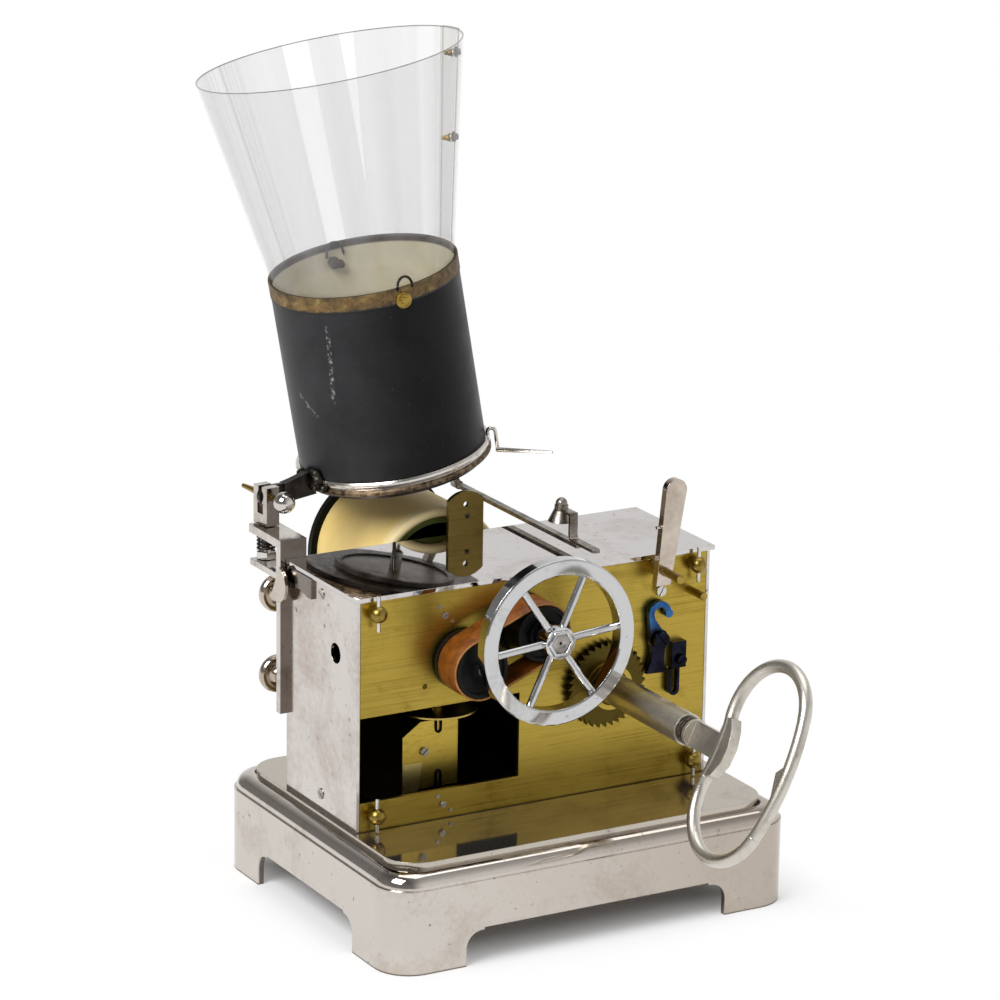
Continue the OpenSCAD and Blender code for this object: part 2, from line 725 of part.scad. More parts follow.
module intermediate_wheel() {
    y0 = back_in - 13.5;
    color("gold") difference() {
        translate([inter_x, y0 + 2.5, inter_z]) rotate([90, 0, 0]) linear_extrude(height = 2.5)
            polygon(gear_points(inter_n, inter_pr, train_m, inter_to_pul));
        bar_y(inter_x, inter_z, y0 - 1, y0 + 4, 2);
        for (a = [45:90:315]) bar_y(inter_x + 10.5 * cos(a), inter_z + 10.5 * sin(a), y0 - 1, y0 + 4, 4.5);
    }
}

// Arbor with the wheel that turns the governor's worm
module governor_wheel() {
    y0 = back_in - 13.5;
    color("orange") union() {
        bar_y(gov_wheel_x, gov_wheel_z, front_in + gap, back_in - gap, 1.6);
        bar_y(gov_wheel_x, gov_wheel_z, front_y, back_y, 1);
        translate([gov_wheel_x, y0 + 2.5, gov_wheel_z]) rotate([90, 0, 0]) linear_extrude(height = 2.5)
            polygon(gear_points(gov_gear_n, gov_gear_pr, train_m, gov_gear_phase));
        translate([gov_wheel_x, gov_y + 1.5, gov_wheel_z]) rotate([90, 0, 0]) linear_extrude(height = 3)
            polygon(gear_points(30, worm_wheel_r - 0.63, 0.9, 0));
    }
}

module governor_arbor() {
    low = deck_z + 4.5;
    color("darkblue") translate([gov_x, gov_y, 0]) union() {
        translate([0, 0, deck_z + 2.2]) cylinder(h = gov_top - deck_z, r = 0.8);
        translate([0, 0, low]) cylinder(h = gov_top - gap - low, r = 1.2);
        translate([0, 0, gov_wheel_z - 5]) cylinder(h = 9, r = worm_r);
    }
}

module governor_disc() {
    color("wheat") translate([gov_x, gov_y, disc_z]) difference() {
        union() {
            cylinder(h = 0.8, r = disc_r);
            translate([0, 0, -1.5]) cylinder(h = 4.5, r = 3);
        }
        translate([0, 0, -3]) cylinder(h = 8, r = 1.2);
    }
}

module governor_vane() {
    y1 = gov_y - 1.2;
    low = deck_z + 7;
    color("burlywood") plate_xz(y1 - 0.8, y1) polygon([[gov_x - 16, low], [gov_x + 9, low], [gov_x + 9, low + 28],
        [gov_x - 8, low + 28], [gov_x - 16, low + 22.5]]);
}

module vane_flap() {
    y1 = gov_y - 2;
    low = deck_z + 6.4;
    color("tan") plate_xz(y1 - 0.6, y1) polygon([[gov_x - 16.2, low], [gov_x - 9.2, low], [gov_x - 7, low + 12],
        [gov_x - 16.2, low + 12]]);
}

module vane_screw() {
    color("lightsteelblue") slot_head(gov_x - 6.4, deck_z + 22.5, gov_y - 2, 1.7, 1.1, 40);
}

// One cock: a foot on the front plate and an arm back to the governor pivot
module cock(z_arm, z0, z1) {
    difference() {
        union() {
            translate([gov_x - 11.5, front_in, z0]) cube([6.5, 1, z1 - z0]);
            translate([gov_x - 11.5, front_in, z_arm]) cube([14, 3.5, 2]);
            translate([gov_x - 2.4, front_in, z_arm]) cube([4.9, gov_y - front_in + 2.5, 2]);
        }
        translate([gov_x, gov_y, z_arm - 1]) cylinder(h = 4, r = 0.8 + play);
    }
}

module governor_cocks() {
    color("olive") {
        cock(deck_z + 2, deck_z + 2, deck_z + 11);
        cock(gov_top, gov_top, top_z - 8);
    }
}

module cock_fasteners() {
    color("lightgray") for (z = [deck_z + 6, top_z - 11.8]) {
        slot_head(gov_x - 7, z, front_y, 1.3, 1, 20);
        slot_head(gov_x - 9.2, z + 3.6, front_y, 0.8, 0.5, 0);
        slot_head(gov_x - 3.4, z - 3, front_y, 0.8, 0.5, 0);
    }
}

// Drum on the arbor with a rear flange and a front ring; the record sleeve pushes onto it
module mandrel_drum() {
    wall = 1.4;
    nose_r = lip_r - 0.3;
    nose_y = record_y + 2.6;
    step_y = record_y + 9;
    color("darkslategray") difference() {
        union() {
            bar_y(axis_x, axis_z, nose_y, step_y + 1, nose_r);
            bar_y(axis_x, axis_z, step_y, record_end, bore_r);
            bar_y(axis_x, axis_z, record_end, record_end + 3, record_r + 2.8);
        }
        difference() {
            union() {
                bar_y(axis_x, axis_z, record_y, step_y + 2, nose_r - 2.6);
                bar_y(axis_x, axis_z, step_y + wall, record_end - 4, bore_r - wall);
            }
            bar_y(axis_x, axis_z, record_y - 1, record_end, 7);
        }
        bar_y(axis_x, axis_z, record_y, record_end + 4, arbor_r);
    }
}

// Sleeve with a thick round lip at the front
module record_cylinder() {
    lip = (record_r - lip_r) / 2;
    mid = record_r - lip;
    color("palegoldenrod") translate([axis_x, record_y, axis_z]) rotate([-90, 0, 0]) rotate_extrude($fn = 96)
        polygon(concat(
            [[bore_r, record_l], [bore_r, 3 * lip], [lip_r, 1.6 * lip]],
            [for (a = [180:18:360]) [mid + lip * cos(a), lip + lip * sin(a)]],
            [[record_r, record_l]]
        ));
}

module mandrel_nut() {
    color("gray") difference() {
        bar_y(axis_x, axis_z, record_end + 3, record_end + 8, 6);
        bar_y(axis_x, axis_z, record_end + 2, record_end + 9, arbor_r);
    }
}

// Forked bracket on a long strip at the left rear corner, with an ear round the corner
module horn_post() {
    w = post_x1 - post_x0;
    reach = spindle_y + 4 - back_y;
    ear_z = under_top - 8.4;
    color("rosybrown") difference() {
        union() {
            translate([post_x0, back_y, post_low]) cube([w, post_t, post_top - post_low]);
            translate([post_x0, back_y, post_top - upper_arm_t]) cube([w, reach, upper_arm_t]);
            translate([post_x0, back_y, lower_arm - arm_t]) cube([w, reach - 1, arm_t]);
            difference() {
                translate([left_x - 1.2, back_y - 23.4, ear_z]) cube([1.2, 24, 8.4]);
                translate([left_x - 3, back_y - 13, ear_z - 13.2]) rotate([0, 90, 0]) cylinder(h = 5, r = 14.6);
            }
        }
        translate([left_x - 1.3, back_y - 30, under_top]) cube([w, 30.6, top_t]);
        translate([spindle_x, spindle_y, lower_arm - 8]) cylinder(h = 40, r = spindle_r + play);
        for (z = thumb_zs) bar_y(spindle_x + 1.5, z, back_y - 1, back_y + 9, 1.5);
    }
}

module post_thumbscrews() {
    x = spindle_x + 1.5;
    head = back_y + 15.5;
    color("lightgray") for (z = thumb_zs) union() {
        bar_y(x, z, back_in - 2, back_y + post_t + 1, 1.5);
        bar_y(x, z, back_y + post_t, head, 2.7);
        difference() {
            bar_y(x, z, head, head + 4, 7.9);
            difference() {
                bar_y(x, z, head - 1, head + 1.4, 6);
                bar_y(x, z, head - 2, head + 3, 3.4);
            }
        }
    }
}

// Half-moon catch on the outer face of the strip
module catch_leaf() {
    c = [back_y + 1, lower_arm - 3.5];
    color("mistyrose") plate_yz(post_x0 - 1.3, post_x0) translate(c) rotate(-63) difference() {
        circle(7.6);
        translate([-10, 1.5]) square([20, 10]);
    }
}

module pivot_block() {
    low = post_top + gap;
    high = post_top + 16.2;
    color("silver") swivel_place() difference() {
        translate([-3, -4.8, low]) cube([6, 9.6, high - low]);
        translate([-5, -1.3, pin_z - 5]) cube([10, 2.6, 20]);
        translate([-5, -2, pin_z - 7]) cube([10, 4, 4.2]);
        bar_y(0, pin_z, -9, 9, pin_r);
        translate([0, 0, low - 1]) cylinder(h = 4.5, r = spindle_r);
    }
}

module spindle() {
    low = lower_arm - arm_t - 1.5;
    color("dimgray") swivel_place() union() {
        translate([0, 0, low]) cylinder(h = post_top + gap + 3.5 - low, r = spindle_r);
        translate([0, 0, nut_z]) cylinder(h = nut_h, r = 4.4, $fn = 6);
    }
}

// Centre line of the coil, one straight wire diameter at each end
coil_rise = (coil_high - coil_low) / curls;
coil_n = curls * 8;
function coil_at(i) = [coil_r * cos(i * 45), coil_r * sin(i * 45), coil_low + coil_rise * i / 8];
function coil_dir(i) = [-sin(i * 45), cos(i * 45), 0];
coil_path = concat(
    [coil_at(0) - 2 * wire_r * coil_dir(0)],
    [for (i = [0:coil_n]) coil_at(i)],
    [coil_at(coil_n) + 2 * wire_r * coil_dir(coil_n)]
);
function coil_turn(k) = min(max(k - 1, 0), coil_n);
coil_skin = [for (k = [0:len(coil_path) - 1], s = [0:5])
    let (i = coil_turn(k), out = [cos(i * 45), sin(i * 45), 0])
    coil_path[k] + wire_r * (cos(s * 60) * out + sin(s * 60) * [0, 0, 1])];
coil_faces = concat(
    [for (k = [0:len(coil_path) - 2], s = [0:5]) [k * 6 + s, k * 6 + (s + 1) % 6, (k + 1) * 6 + s]],
    [for (k = [0:len(coil_path) - 2], s = [0:5]) [k * 6 + (s + 1) % 6, (k + 1) * 6 + (s + 1) % 6, (k + 1) * 6 + s]],
    [for (s = [1:4]) [0, s + 1, s]],
    [for (s = [1:4]) let (b = (len(coil_path) - 1) * 6) [b, b + s, b + s + 1]]
);
coil_gap = min([for (i = [0:coil_n - 6], j = [i + 6:coil_n]) norm(coil_at(i) - coil_at(j))]) - 2 * wire_r;

module spindle_spring() {
    echo(least_gap_of_coil = coil_gap);
    color("slategray") swivel_place() polyhedron(points = coil_skin, faces = coil_faces);
}

module pivot_pin() {
    color("tan") swivel_place() union() {
        bar_y(0, pin_z, -11, 9, pin_r);
        translate([0, 9, pin_z]) rotate([-90, 0, 0]) cylinder(h = 8, r1 = pin_r, r2 = 0.9);
        translate([0, -13, pin_z]) sphere(4.4);
    }
}

// Flat arm that rises from the pivot pin to the ring, thin where it turns in the fork
module horn_arm() {
    far = norm([ring_cx - spindle_x, horn_y - spindle_y]) - ring_r + 6;
    color("darkslategray") difference() {
        swivel_place() difference() {
            union() {
                plate_xz(-0.95, 0.95) union() {
                    translate([0, pin_z]) circle(4);
                    translate([0, pin_z - 4]) square([12, 8]);
                }
                plate_xz(-1.8, 1.8) polygon([[7.5, pin_z - 4], [far, pin_z - 2], [far, pin_z + 9.5], [12, pin_z + 5],
                    [7.5, pin_z + 4]]);
            }
            bar_y(0, pin_z, -3, 3, pin_r + play);
        }
        horn_place() translate([0, 0, ring_z - 20]) cylinder(h = 20 + ring_h, r = ring_r + ring_lip, $fn = 96);
        horn_place() translate([0, 0, ring_z]) cylinder(h = 60, r = tube_r, $fn = 96);
    }
}

// Ring that holds the tube: a foot rim, a rolled upper lip, and a bent wire handle on its right side
module horn_ring() {
    rod = 0.8;
    bend = 1.6;
    leg = ring_r - 0.5;
    hook_low = -1.9;
    hook_high = 6.2;
    seat = tube_in - 1.4;
    color("silver") horn_place() union() {
        rotate_extrude($fn = 96) polygon([[seat, ring_z], [ring_r - 0.2, ring_z], [ring_r + ring_lip, ring_z + 0.5],
            [ring_r + ring_lip, ring_z + 1.6], [ring_r - 0.6, ring_z + 2.4], [ring_r - 0.6, ring_z + 3],
            [ring_r, ring_z + 3.4], [ring_r + ring_lip, ring_z + 4.2], [ring_r + 0.2, ring_z + 5],
            [ring_r - 0.4, ring_z + ring_h], [tube_r, ring_z + ring_h], [tube_r, ring_z + 1.2], [seat, ring_z + 1.2]]);
        rotate([0, 0, -29]) translate([leg, 0, ring_z]) union() {
            translate([0, 0, 4]) cylinder(h = hook_high - 4, r = rod);
            translate([bend, 0, hook_high]) rotate([90, 0, 0]) rotate_extrude(angle = 180)
                translate([bend, 0]) circle(rod);
            translate([2 * bend, 0, hook_low]) cylinder(h = hook_high - hook_low, r = rod);
            translate([2 * bend, 0, hook_low]) rotate([0, 0, -25]) union() {
                sphere(rod + 0.25);
                rotate([0, 91.4, 0]) cylinder(h = 24, r1 = rod + 0.25, r2 = 0.6);
                rotate([0, 91.4, 0]) translate([0, 0, 24]) sphere(0.6);
            }
        }
    }
}

// Shallow pan under the ring that carries the diaphragm
module sound_box() {
    cup = 22;
    color("goldenrod") horn_place() rotate_extrude($fn = 96) polygon([[cup, ring_z - 3.8], [cup + 2.5, ring_z - 3.8],
        [cup + 3, ring_z - 2], [tube_in - 0.5, ring_z - 2], [tube_in - 0.5, ring_z], [cup, ring_z]]);
}

module diaphragm() {
    color("lightcyan") horn_place() translate([0, 0, ring_z - 3]) cylinder(h = 0.5, r = 22);
}

module stylus_bar() {
    tip = record_r + 0.35;
    color("dimgray") horn_place() rotate_extrude() polygon([[0, tip], [0.35, tip + 0.5], [0.9, tip + 4], [2.4, tip + 5],
        [2.4, ring_z - 3], [0, ring_z - 3]]);
}

module horn_tube() {
    color("dimgray") horn_place() rotate_extrude($fn = 96) translate([tube_in, ring_z + 1.2])
        square([1, tube_top - ring_z - 1.2]);
}

module tube_band() {
    color("saddlebrown") horn_place() rotate_extrude($fn = 96) translate([tube_r, tube_top - 6.4]) square([0.3, 6.4]);
}

// Radius of the outside of the sheet at a height
function sheet_r(z) = tube_in + (flare_r - tube_in) * (z - tube_top) / (flare_top - tube_top);

// Clear conical sheet with an overlapped seam on its right side and a sloping rim
module horn_flare() {
    t = 0.6;
    low = tube_top - sheet_lap;
    high = flare_top + 6;
    color("white", 0.4) horn_place() difference() {
        union() {
            rotate_extrude($fn = 96) polygon([[tube_in - t, low], [tube_in, low], [tube_in, tube_top],
                [sheet_r(high), high], [sheet_r(high) - t, high], [tube_in - t, tube_top]]);
            rotate([0, 0, seam_at]) rotate_extrude(angle = seam_w) polygon([[tube_in - 0.1, tube_top + 1],
                [tube_in + seam_t, tube_top + 1], [sheet_r(high) + seam_t, high], [sheet_r(high) - 0.1, high]]);
        }
        translate([0, 0, flare_top - 0.6]) rotate(a = -rim_slope, v = [cos(rim_turn), -sin(rim_turn), 0])
            translate([-100, -100, 0]) cube([200, 200, 40]);
    }
}

// Two bolts that stand square to the sheet on its seam
module flare_bolts() {
    slope = atan((flare_r - tube_in) / (flare_top - tube_top));
    color("dimgray") horn_place() for (z = [flare_top - 10.4, flare_top - 44.3]) rotate([0, 0, seam_at + 4])
        translate([sheet_r(z) + seam_t + 0.03, 0, z]) rotate([0, 90 + slope, 0]) union() {
            cylinder(h = 0.5, r = 2.2);
            cylinder(h = 1.8, r = 1.3);
        }
}

// Brass stud on the band, and two wire loops that stand on the rim of the tube
module tube_ties() {
    color("darkkhaki") horn_place() {
        rotate([0, 0, -94.5]) translate([tube_r + 0.3, 0, tube_top - 5.2]) rotate([0, 90, 0])
            cylinder(h = 1.6, r1 = 3.2, r2 = 1.8);
        for (a = [-92.4, 81.5]) rotate([0, 0, a]) translate([tube_r + 0.5, 0, tube_top]) rotate([90, 0, 90])
            rotate_extrude(angle = 180) translate([2.6, 0]) circle(r = 0.5, $fn = 24);
    }
}

// Flat bar under the ring that runs forward over the top plate
module feed_bar() {
    up = [axis_x + (ring_r - 4) * cos(40) * cos(lean) - ring_z * sin(lean),
        axis_z + ring_z * cos(lean) + (ring_r - 4) * cos(40) * sin(lean)];
    rise = atan2(up[1] - bar_z, up[0] - bar_x);
    color("gray") difference() {
        union() {
            translate([bar_x - 1.5, bar_front, bar_z - bar_t / 2]) cube([3, bar_back - bar_front, bar_t]);
            translate([bar_x, bar_back - 4, bar_z]) rotate([0, -rise, 0]) translate([0, 0, -1.4])
                cube([norm(up - [bar_x, bar_z]) + 6, 4, 2.8]);
            bar_y(bar_x, bar_z, bar_back - 4.2, bar_back + 0.2, 1.9);
        }
        horn_place() translate([0, 0, ring_z]) cylinder(h = 60, r = 60);
        horn_place() translate([0, 0, ring_z - 2]) cylinder(h = 3, r = tube_in - 0.5);
    }
}

// Bent leaf on the front end of the bar: a forward tail, a curl, a riser and a bell with a ball
module feed_finger() {
    leaf = 1.2;
    w = 3.6;
    bend = 1.8;
    riser_y = bar_front + 4.8;
    low = bar_z + bar_t / 2;
    high = bar_z + 12.4;
    tail_y = riser_y - 17;
    bell_y = riser_y + 10;
    color("darkgray") union() {
        translate([bar_x - w / 2, tail_y, low]) cube([w, riser_y - bend - tail_y, leaf]);
        translate([bar_x, tail_y, low]) cylinder(h = leaf, r = w / 2);
        translate([bar_x - w / 2, riser_y - bend, low + leaf + bend]) rotate([0, 90, 0]) rotate_extrude(angle = 90)
            translate([bend, 0]) square([leaf, w]);
        translate([bar_x - w / 2, riser_y, low + leaf + bend]) cube([w, leaf, high - low - leaf - bend]);
        translate([bar_x - w / 2, riser_y, high - leaf]) cube([w, bell_y - riser_y, leaf]);
        translate([bar_x, bell_y, high - leaf]) cylinder(h = leaf + 1, r = 2.8);
        translate([bar_x, bell_y, high - leaf - 4.4]) cylinder(h = 4.6, r1 = 5.4, r2 = 3.1);
        translate([bar_x, bell_y, high + 1.6]) sphere(2.4);
    }
}

base_shell();
base_top();
left_end_plate();
right_end_plate();
front_plate();
back_plate();
top_plate();
pillars();
taper_pins();
end_screws();
spring_barrel();
mainspring();
winding_arbor();
ratchet_wheel();
winding_key();
click();
click_screw();
click_spring();
plate_screws();
start_lever();
brass_studs();
mandrel_arbor();
flywheel();
mandrel_pulley();
drive_pulley();
drive_belt();
pulley_arbor();
intermediate_arbor();
intermediate_wheel();
governor_wheel();
governor_arbor();
governor_disc();
governor_vane();
vane_flap();
vane_screw();
governor_cocks();
cock_fasteners();
mandrel_drum();
record_cylinder();
mandrel_nut();
horn_post();
post_thumbscrews();
catch_leaf();
pivot_block();
spindle();
spindle_spring();
pivot_pin();
horn_arm();
horn_ring();
sound_box();
diaphragm();
stylus_bar();
horn_tube();
tube_band();
horn_flare();
flare_bolts();
tube_ties();
feed_bar();
feed_finger();
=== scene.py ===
"""Looks for the table phonograph: materials, fine pieces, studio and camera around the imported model."""
import math

import bmesh
import bpy
from mathutils import Matrix, Vector

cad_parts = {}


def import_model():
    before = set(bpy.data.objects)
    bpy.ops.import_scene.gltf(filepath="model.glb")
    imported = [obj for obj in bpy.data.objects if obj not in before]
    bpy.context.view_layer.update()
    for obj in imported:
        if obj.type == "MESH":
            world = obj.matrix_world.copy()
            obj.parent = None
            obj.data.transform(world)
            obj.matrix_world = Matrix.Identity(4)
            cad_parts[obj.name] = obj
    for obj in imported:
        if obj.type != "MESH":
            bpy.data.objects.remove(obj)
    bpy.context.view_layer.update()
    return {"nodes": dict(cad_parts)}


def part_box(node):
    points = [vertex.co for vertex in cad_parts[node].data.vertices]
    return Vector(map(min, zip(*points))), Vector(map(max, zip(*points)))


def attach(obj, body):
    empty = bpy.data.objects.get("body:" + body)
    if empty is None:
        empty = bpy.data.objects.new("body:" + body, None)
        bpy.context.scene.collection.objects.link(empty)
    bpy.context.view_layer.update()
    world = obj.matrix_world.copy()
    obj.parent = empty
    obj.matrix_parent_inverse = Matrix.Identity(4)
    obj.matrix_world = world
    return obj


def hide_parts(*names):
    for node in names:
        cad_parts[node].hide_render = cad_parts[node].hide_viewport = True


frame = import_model()
NODES = frame["nodes"]
MM = 0.001
X, Y, Z = 0, 1, 2


def low(node):
    """Lowest corner of a CAD node's box."""
    return Vector(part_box(node)[0])


def high(node):
    """Highest corner of a CAD node's box."""
    return Vector(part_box(node)[1])


def middle(node):
    """Centre of a CAD node's box."""
    return (low(node) + high(node)) / 2


def half(node):
    """Half the size of a CAD node's box."""
    return (high(node) - low(node)) / 2


# Camera, solved from the straight edges of the case and base
CAMERA_PLACE = Vector((-841.5, -1463.15, 651.8)) * MM
CAMERA_YAW = math.radians(29.765)
CAMERA_PITCH = math.radians(16.211)
CAMERA_ROLL = math.radians(0.877)
SENSOR = 36.0
FOCAL_SHARE = 4.4252

# Faces of the case
FRONT_Y = low("front_plate").y
BACK_Y = high("back_plate").y
LEFT_X = low("left_end_plate").x
RIGHT_X = high("right_end_plate").x
TOP_Z = high("right_end_plate").z
DECK_Z = high("base_top").z
KEY_AXIS = middle("ratchet_wheel")
# Front of the collar between the key's blade and its socket
KEY_COLLAR = FRONT_Y - 70 * MM
GOVERNOR_AXIS = middle("governor_arbor")

# Horn: it stands on the record's axis and leans to the left
HORN_LEAN = math.radians(10.4)
HORN_FOOT = Vector((middle("mandrel_arbor").x, middle("horn_tube").y, middle("mandrel_arbor").z))
HORN = Matrix.Translation(HORN_FOOT) @ Matrix.Rotation(-HORN_LEAN, 4, "Y")
TUBE_R = half("tube_band").y - 0.3 * MM
TUBE_TOP = (high("horn_tube").z - HORN_FOOT.z - TUBE_R * math.sin(HORN_LEAN)) / math.cos(HORN_LEAN)
TUBE_LOW = (low("horn_tube").z - HORN_FOOT.z + TUBE_R * math.sin(HORN_LEAN)) / math.cos(HORN_LEAN)
SHEET_R = TUBE_R - 1.0 * MM
RIM_R = 53.7 * MM
RIM_RISE = 87.2 * MM
RIM_SLOPE = math.radians(5.5)
RIM_TURN = math.radians(9.4)
# Lap of the clear sheet, in degrees round the horn
SEAM_TURN = -12.5
SEAM_WIDE = 16.0
# Rubbed streaks on the tube, from one place to another, each (degrees round the horn, mm up it)
RUBBED = (((-143.0, 116.0), (-146.7, 87.0)), ((-174.0, 85.7), (-163.0, 78.9)))
RUB_HALF_WIDTH = 0.6
# Strokes per metre on each axis of drawn plate, turned work, discs and thin sheet
DRAWN = (15.0, 500.0, 1500.0)
TURNED = (300.0, 60.0, 300.0)
DISC = (120.0, 120.0, 400.0)
SHEET = (90.0, 90.0, 400.0)


def tone(code):
    """Linear colour from a hexadecimal one."""
    parts = [int(code[i:i + 2], 16) / 255 for i in (0, 2, 4)]
    return tuple(v / 12.92 if v <= 0.04045 else ((v + 0.055) / 1.055) ** 2.4 for v in parts)


class Wiring:
    """Short ways to add and link shader nodes."""

    def __init__(self, tree):
        self.tree = tree

    def put(self, socket, value):
        """Links a socket to another one, or sets its value."""
        if isinstance(value, bpy.types.NodeSocket):
            self.tree.links.new(value, socket)
        elif isinstance(value, tuple) and len(value) == 3 and socket.type == "RGBA":
            socket.default_value = (*value, 1.0)
        else:
            socket.default_value = value

    def add(self, kind, *values):
        """A new node with its first inputs filled in order; None leaves an input alone."""
        node = self.tree.nodes.new("ShaderNode" + kind)
        for socket, value in zip(node.inputs, values):
            if value is not None:
                self.put(socket, value)
        return node

    def ramp(self, factor, *stops):
        """Colours or greys along a factor; each stop is (position, value)."""
        node = self.add("ValToRGB", factor)
        elements = node.color_ramp.elements
        while len(elements) < len(stops):
            elements.new(0.5)
        for element, (position, value) in zip(elements, stops):
            element.position = position
            colour = value if isinstance(value, tuple) else (value, value, value)
            element.color = (*colour, 1.0)
        return node.outputs[0]

    def mix(self, factor, first, second):
        """Second colour over the first by a factor."""
        node = self.add("Mix")
        node.data_type = "RGBA"
        self.put(node.inputs[0], factor)
        self.put(node.inputs[6], first)
        self.put(node.inputs[7], second)
        return node.outputs[2]

    def math(self, operation, first, second=0.0):
        """Result of a Math node."""
        node = self.add("Math", first, second)
        node.operation = operation
        return node.outputs[0]

    def times(self, *factors):
        """Product of several factors."""
        result = factors[0]
        for factor in factors[1:]:
            result = self.math("MULTIPLY", result, factor)
        return result

    def part(self, vector, axis):
        """One component of a vector: X, Y or Z."""
        return self.add("SeparateXYZ", vector).outputs[axis]

    def step(self, value, start, end):
        """Smooth rise from 0 to 1 between two values, or fall where end is below start."""
        node = self.add("MapRange", value, min(start, end), max(start, end))
        node.interpolation_type = "SMOOTHSTEP"
        node.inputs["To Min"].default_value = 0.0 if start < end else 1.0
        node.inputs["To Max"].default_value = 1.0 if start < end else 0.0
        return node.outputs[0]

    def band(self, value, start, end, soft):
        """1 between two values, with soft edges outside them."""
        return self.times(self.step(value, start - soft, start), self.step(value, end + soft, end))


class Paint(Wiring):
    """One procedural material: a Principled shader and the nodes that feed it."""

    def __init__(self, name, **sockets):
        self.material = bpy.data.materials.new(name)
        self.material.use_nodes = True
        super().__init__(self.material.node_tree)
        self.shader = self.tree.nodes["Principled BSDF"]
        for socket, value in sockets.items():
            self.put(self.shader.inputs[socket.replace("_", " ")], value)

    def place(self, scale=(1.0, 1.0, 1.0)):
        """Coordinates that stay with the object, in metres, stretched by scale."""
        mapping = self.add("Mapping", self.add("TexCoord").outputs["Object"])
        mapping.inputs["Scale"].default_value = scale
        return mapping.outputs[0]

    def horn(self):
        """Coordinates along the horn: Z runs up its axis from the record's axis."""
        mapping = self.add("Mapping", self.add("TexCoord").outputs["Object"])
        mapping.inputs["Rotation"].default_value = (0.0, HORN_LEAN, 0.0)
        mapping.inputs["Location"].default_value = HORN.inverted().translation
        return mapping.outputs[0]

    def radius(self, vector):
        """Distance of a point from the Z axis."""
        x, y = self.part(vector, X), self.part(vector, Y)
        return self.math("SQRT", self.math("ADD", self.times(x, x), self.times(y, y)))

    def turn(self, vector):
        """Angle of a point round the Z axis, in degrees."""
        angle = self.math("ARCTAN2", self.part(vector, Y), self.part(vector, X))
        return self.math("MULTIPLY", angle, math.degrees(1.0))

    def noise(self, vector, scale, detail=3.0, rough=0.55, twist=0.0):
        """Noise at a scale in features per metre."""
        node = self.add("TexNoise", vector)
        node.inputs["Scale"].default_value = scale
        node.inputs["Detail"].default_value = detail
        node.inputs["Roughness"].default_value = rough
        node.inputs["Distortion"].default_value = twist
        return node.outputs[0]

    def finish(self, colour=None, rough=None, height=None, strength=0.1, depth=0.2, edge=0.0):
        """Feeds colour, roughness and bump into the shader; edge rounds sharp edges, in mm."""
        if colour is not None:
            self.put(self.shader.inputs["Base Color"], colour)
        if rough is not None:
            self.put(self.shader.inputs["Roughness"], rough)
        normal = None
        if edge:
            bevel = self.add("Bevel", edge * MM)
            bevel.samples = 4
            normal = bevel.outputs[0]
        if height is not None:
            bump = self.add("Bump")
            bump.inputs["Strength"].default_value = strength
            bump.inputs["Distance"].default_value = depth * MM
            self.put(bump.inputs["Height"], height)
            if normal is not None:
                self.put(bump.inputs["Normal"], normal)
            normal = bump.outputs[0]
        if normal is not None:
            self.put(self.shader.inputs["Normal"], normal)
        return self.material


def nickel(name, clean, stain, share, gloss, edge=0.35, pits=0.5, wear_and_shade=None, metal=1.0):
    """Polished nickel plate with clouds of tarnish and small dark pits.

    share is how much is tarnished, gloss the least roughness, edge the rounding of edges in mm.
    The wear mask, where given, takes the paint and its coordinates and returns a mask, a colour and a
    roughness; on some plates it is real wear, solder or brass, on others painted shade.
    metal below 1 leaves a film of dust on the plate.
    """
    paint = Paint(name, Metallic=metal)
    here = paint.place()
    clouds = paint.noise(here, 38, detail=5.0, rough=0.62, twist=0.4)
    grain = paint.noise(here, 420, detail=4.0, rough=0.6)
    blend = paint.math("ADD", paint.times(clouds, 0.75), paint.times(grain, 0.25))
    tarnish = paint.ramp(blend, (0.62 - 0.35 * share, 0.0), (0.78 - 0.18 * share, 1.0))
    colour = paint.mix(tarnish, tone(clean), tone(stain))
    for scale in (420, 1500):
        specks = paint.ramp(paint.noise(here, scale, detail=2.0, rough=0.5), (0.71, 0.0), (0.76, pits))
        colour = paint.mix(specks, colour, tone("5b4f46"))
    rough = paint.ramp(blend, (0.35, gloss), (0.7, 2.2 * gloss))
    # Real wear on some plates, painted shade on others
    if wear_and_shade:
        mask, under, dull = wear_and_shade(paint, here)
        colour = paint.mix(mask, colour, under)
        rough = paint.mix(mask, rough, (dull, dull, dull))
    relief = paint.noise(here, 120, detail=3.0)
    return paint.finish(colour, rough, relief, strength=0.05, depth=0.12, edge=edge)


def brass(name, light, deep, along, gloss, inside=None):
    """Brass drawn with fine strokes; along is the stretch of the strokes on each axis.

    inside, where given, takes the paint and its coordinates and returns a mask of what is
    painted dark toward near black: painted shade on brass inside the case and toward the front plate's foot,
    and the darker teeth of the ratchet.
    """
    light, deep = tone(light), tone(deep)
    paint = Paint(name, Metallic=1.0)
    here = paint.place()
    strokes = paint.noise(paint.place(along), 1.0, detail=5.0, rough=0.75)
    clouds = paint.noise(here, 26, detail=5.0, rough=0.62, twist=0.5)
    blend = paint.math("ADD", paint.times(strokes, 0.5), paint.times(clouds, 0.5))
    colour = paint.ramp(blend, (0.36, deep), (0.50, light), (0.64, tuple(0.72 * v for v in light)))
    stains = paint.ramp(paint.noise(here, 62, detail=6.0, rough=0.7, twist=0.9), (0.60, 0.0), (0.76, 0.6))
    colour = paint.mix(stains, colour, tuple(0.45 * v for v in deep))
    rough = paint.ramp(blend, (0.3, gloss), (0.7, gloss + 0.16))
    if inside:
        # Painted shade inside the case and on the front plate; the ratchet's teeth darken here too
        colour = paint.mix(inside(paint, here), colour, tone("221d0c"))
    return paint.finish(colour, rough, strokes, strength=0.14, depth=0.10, edge=0.3)


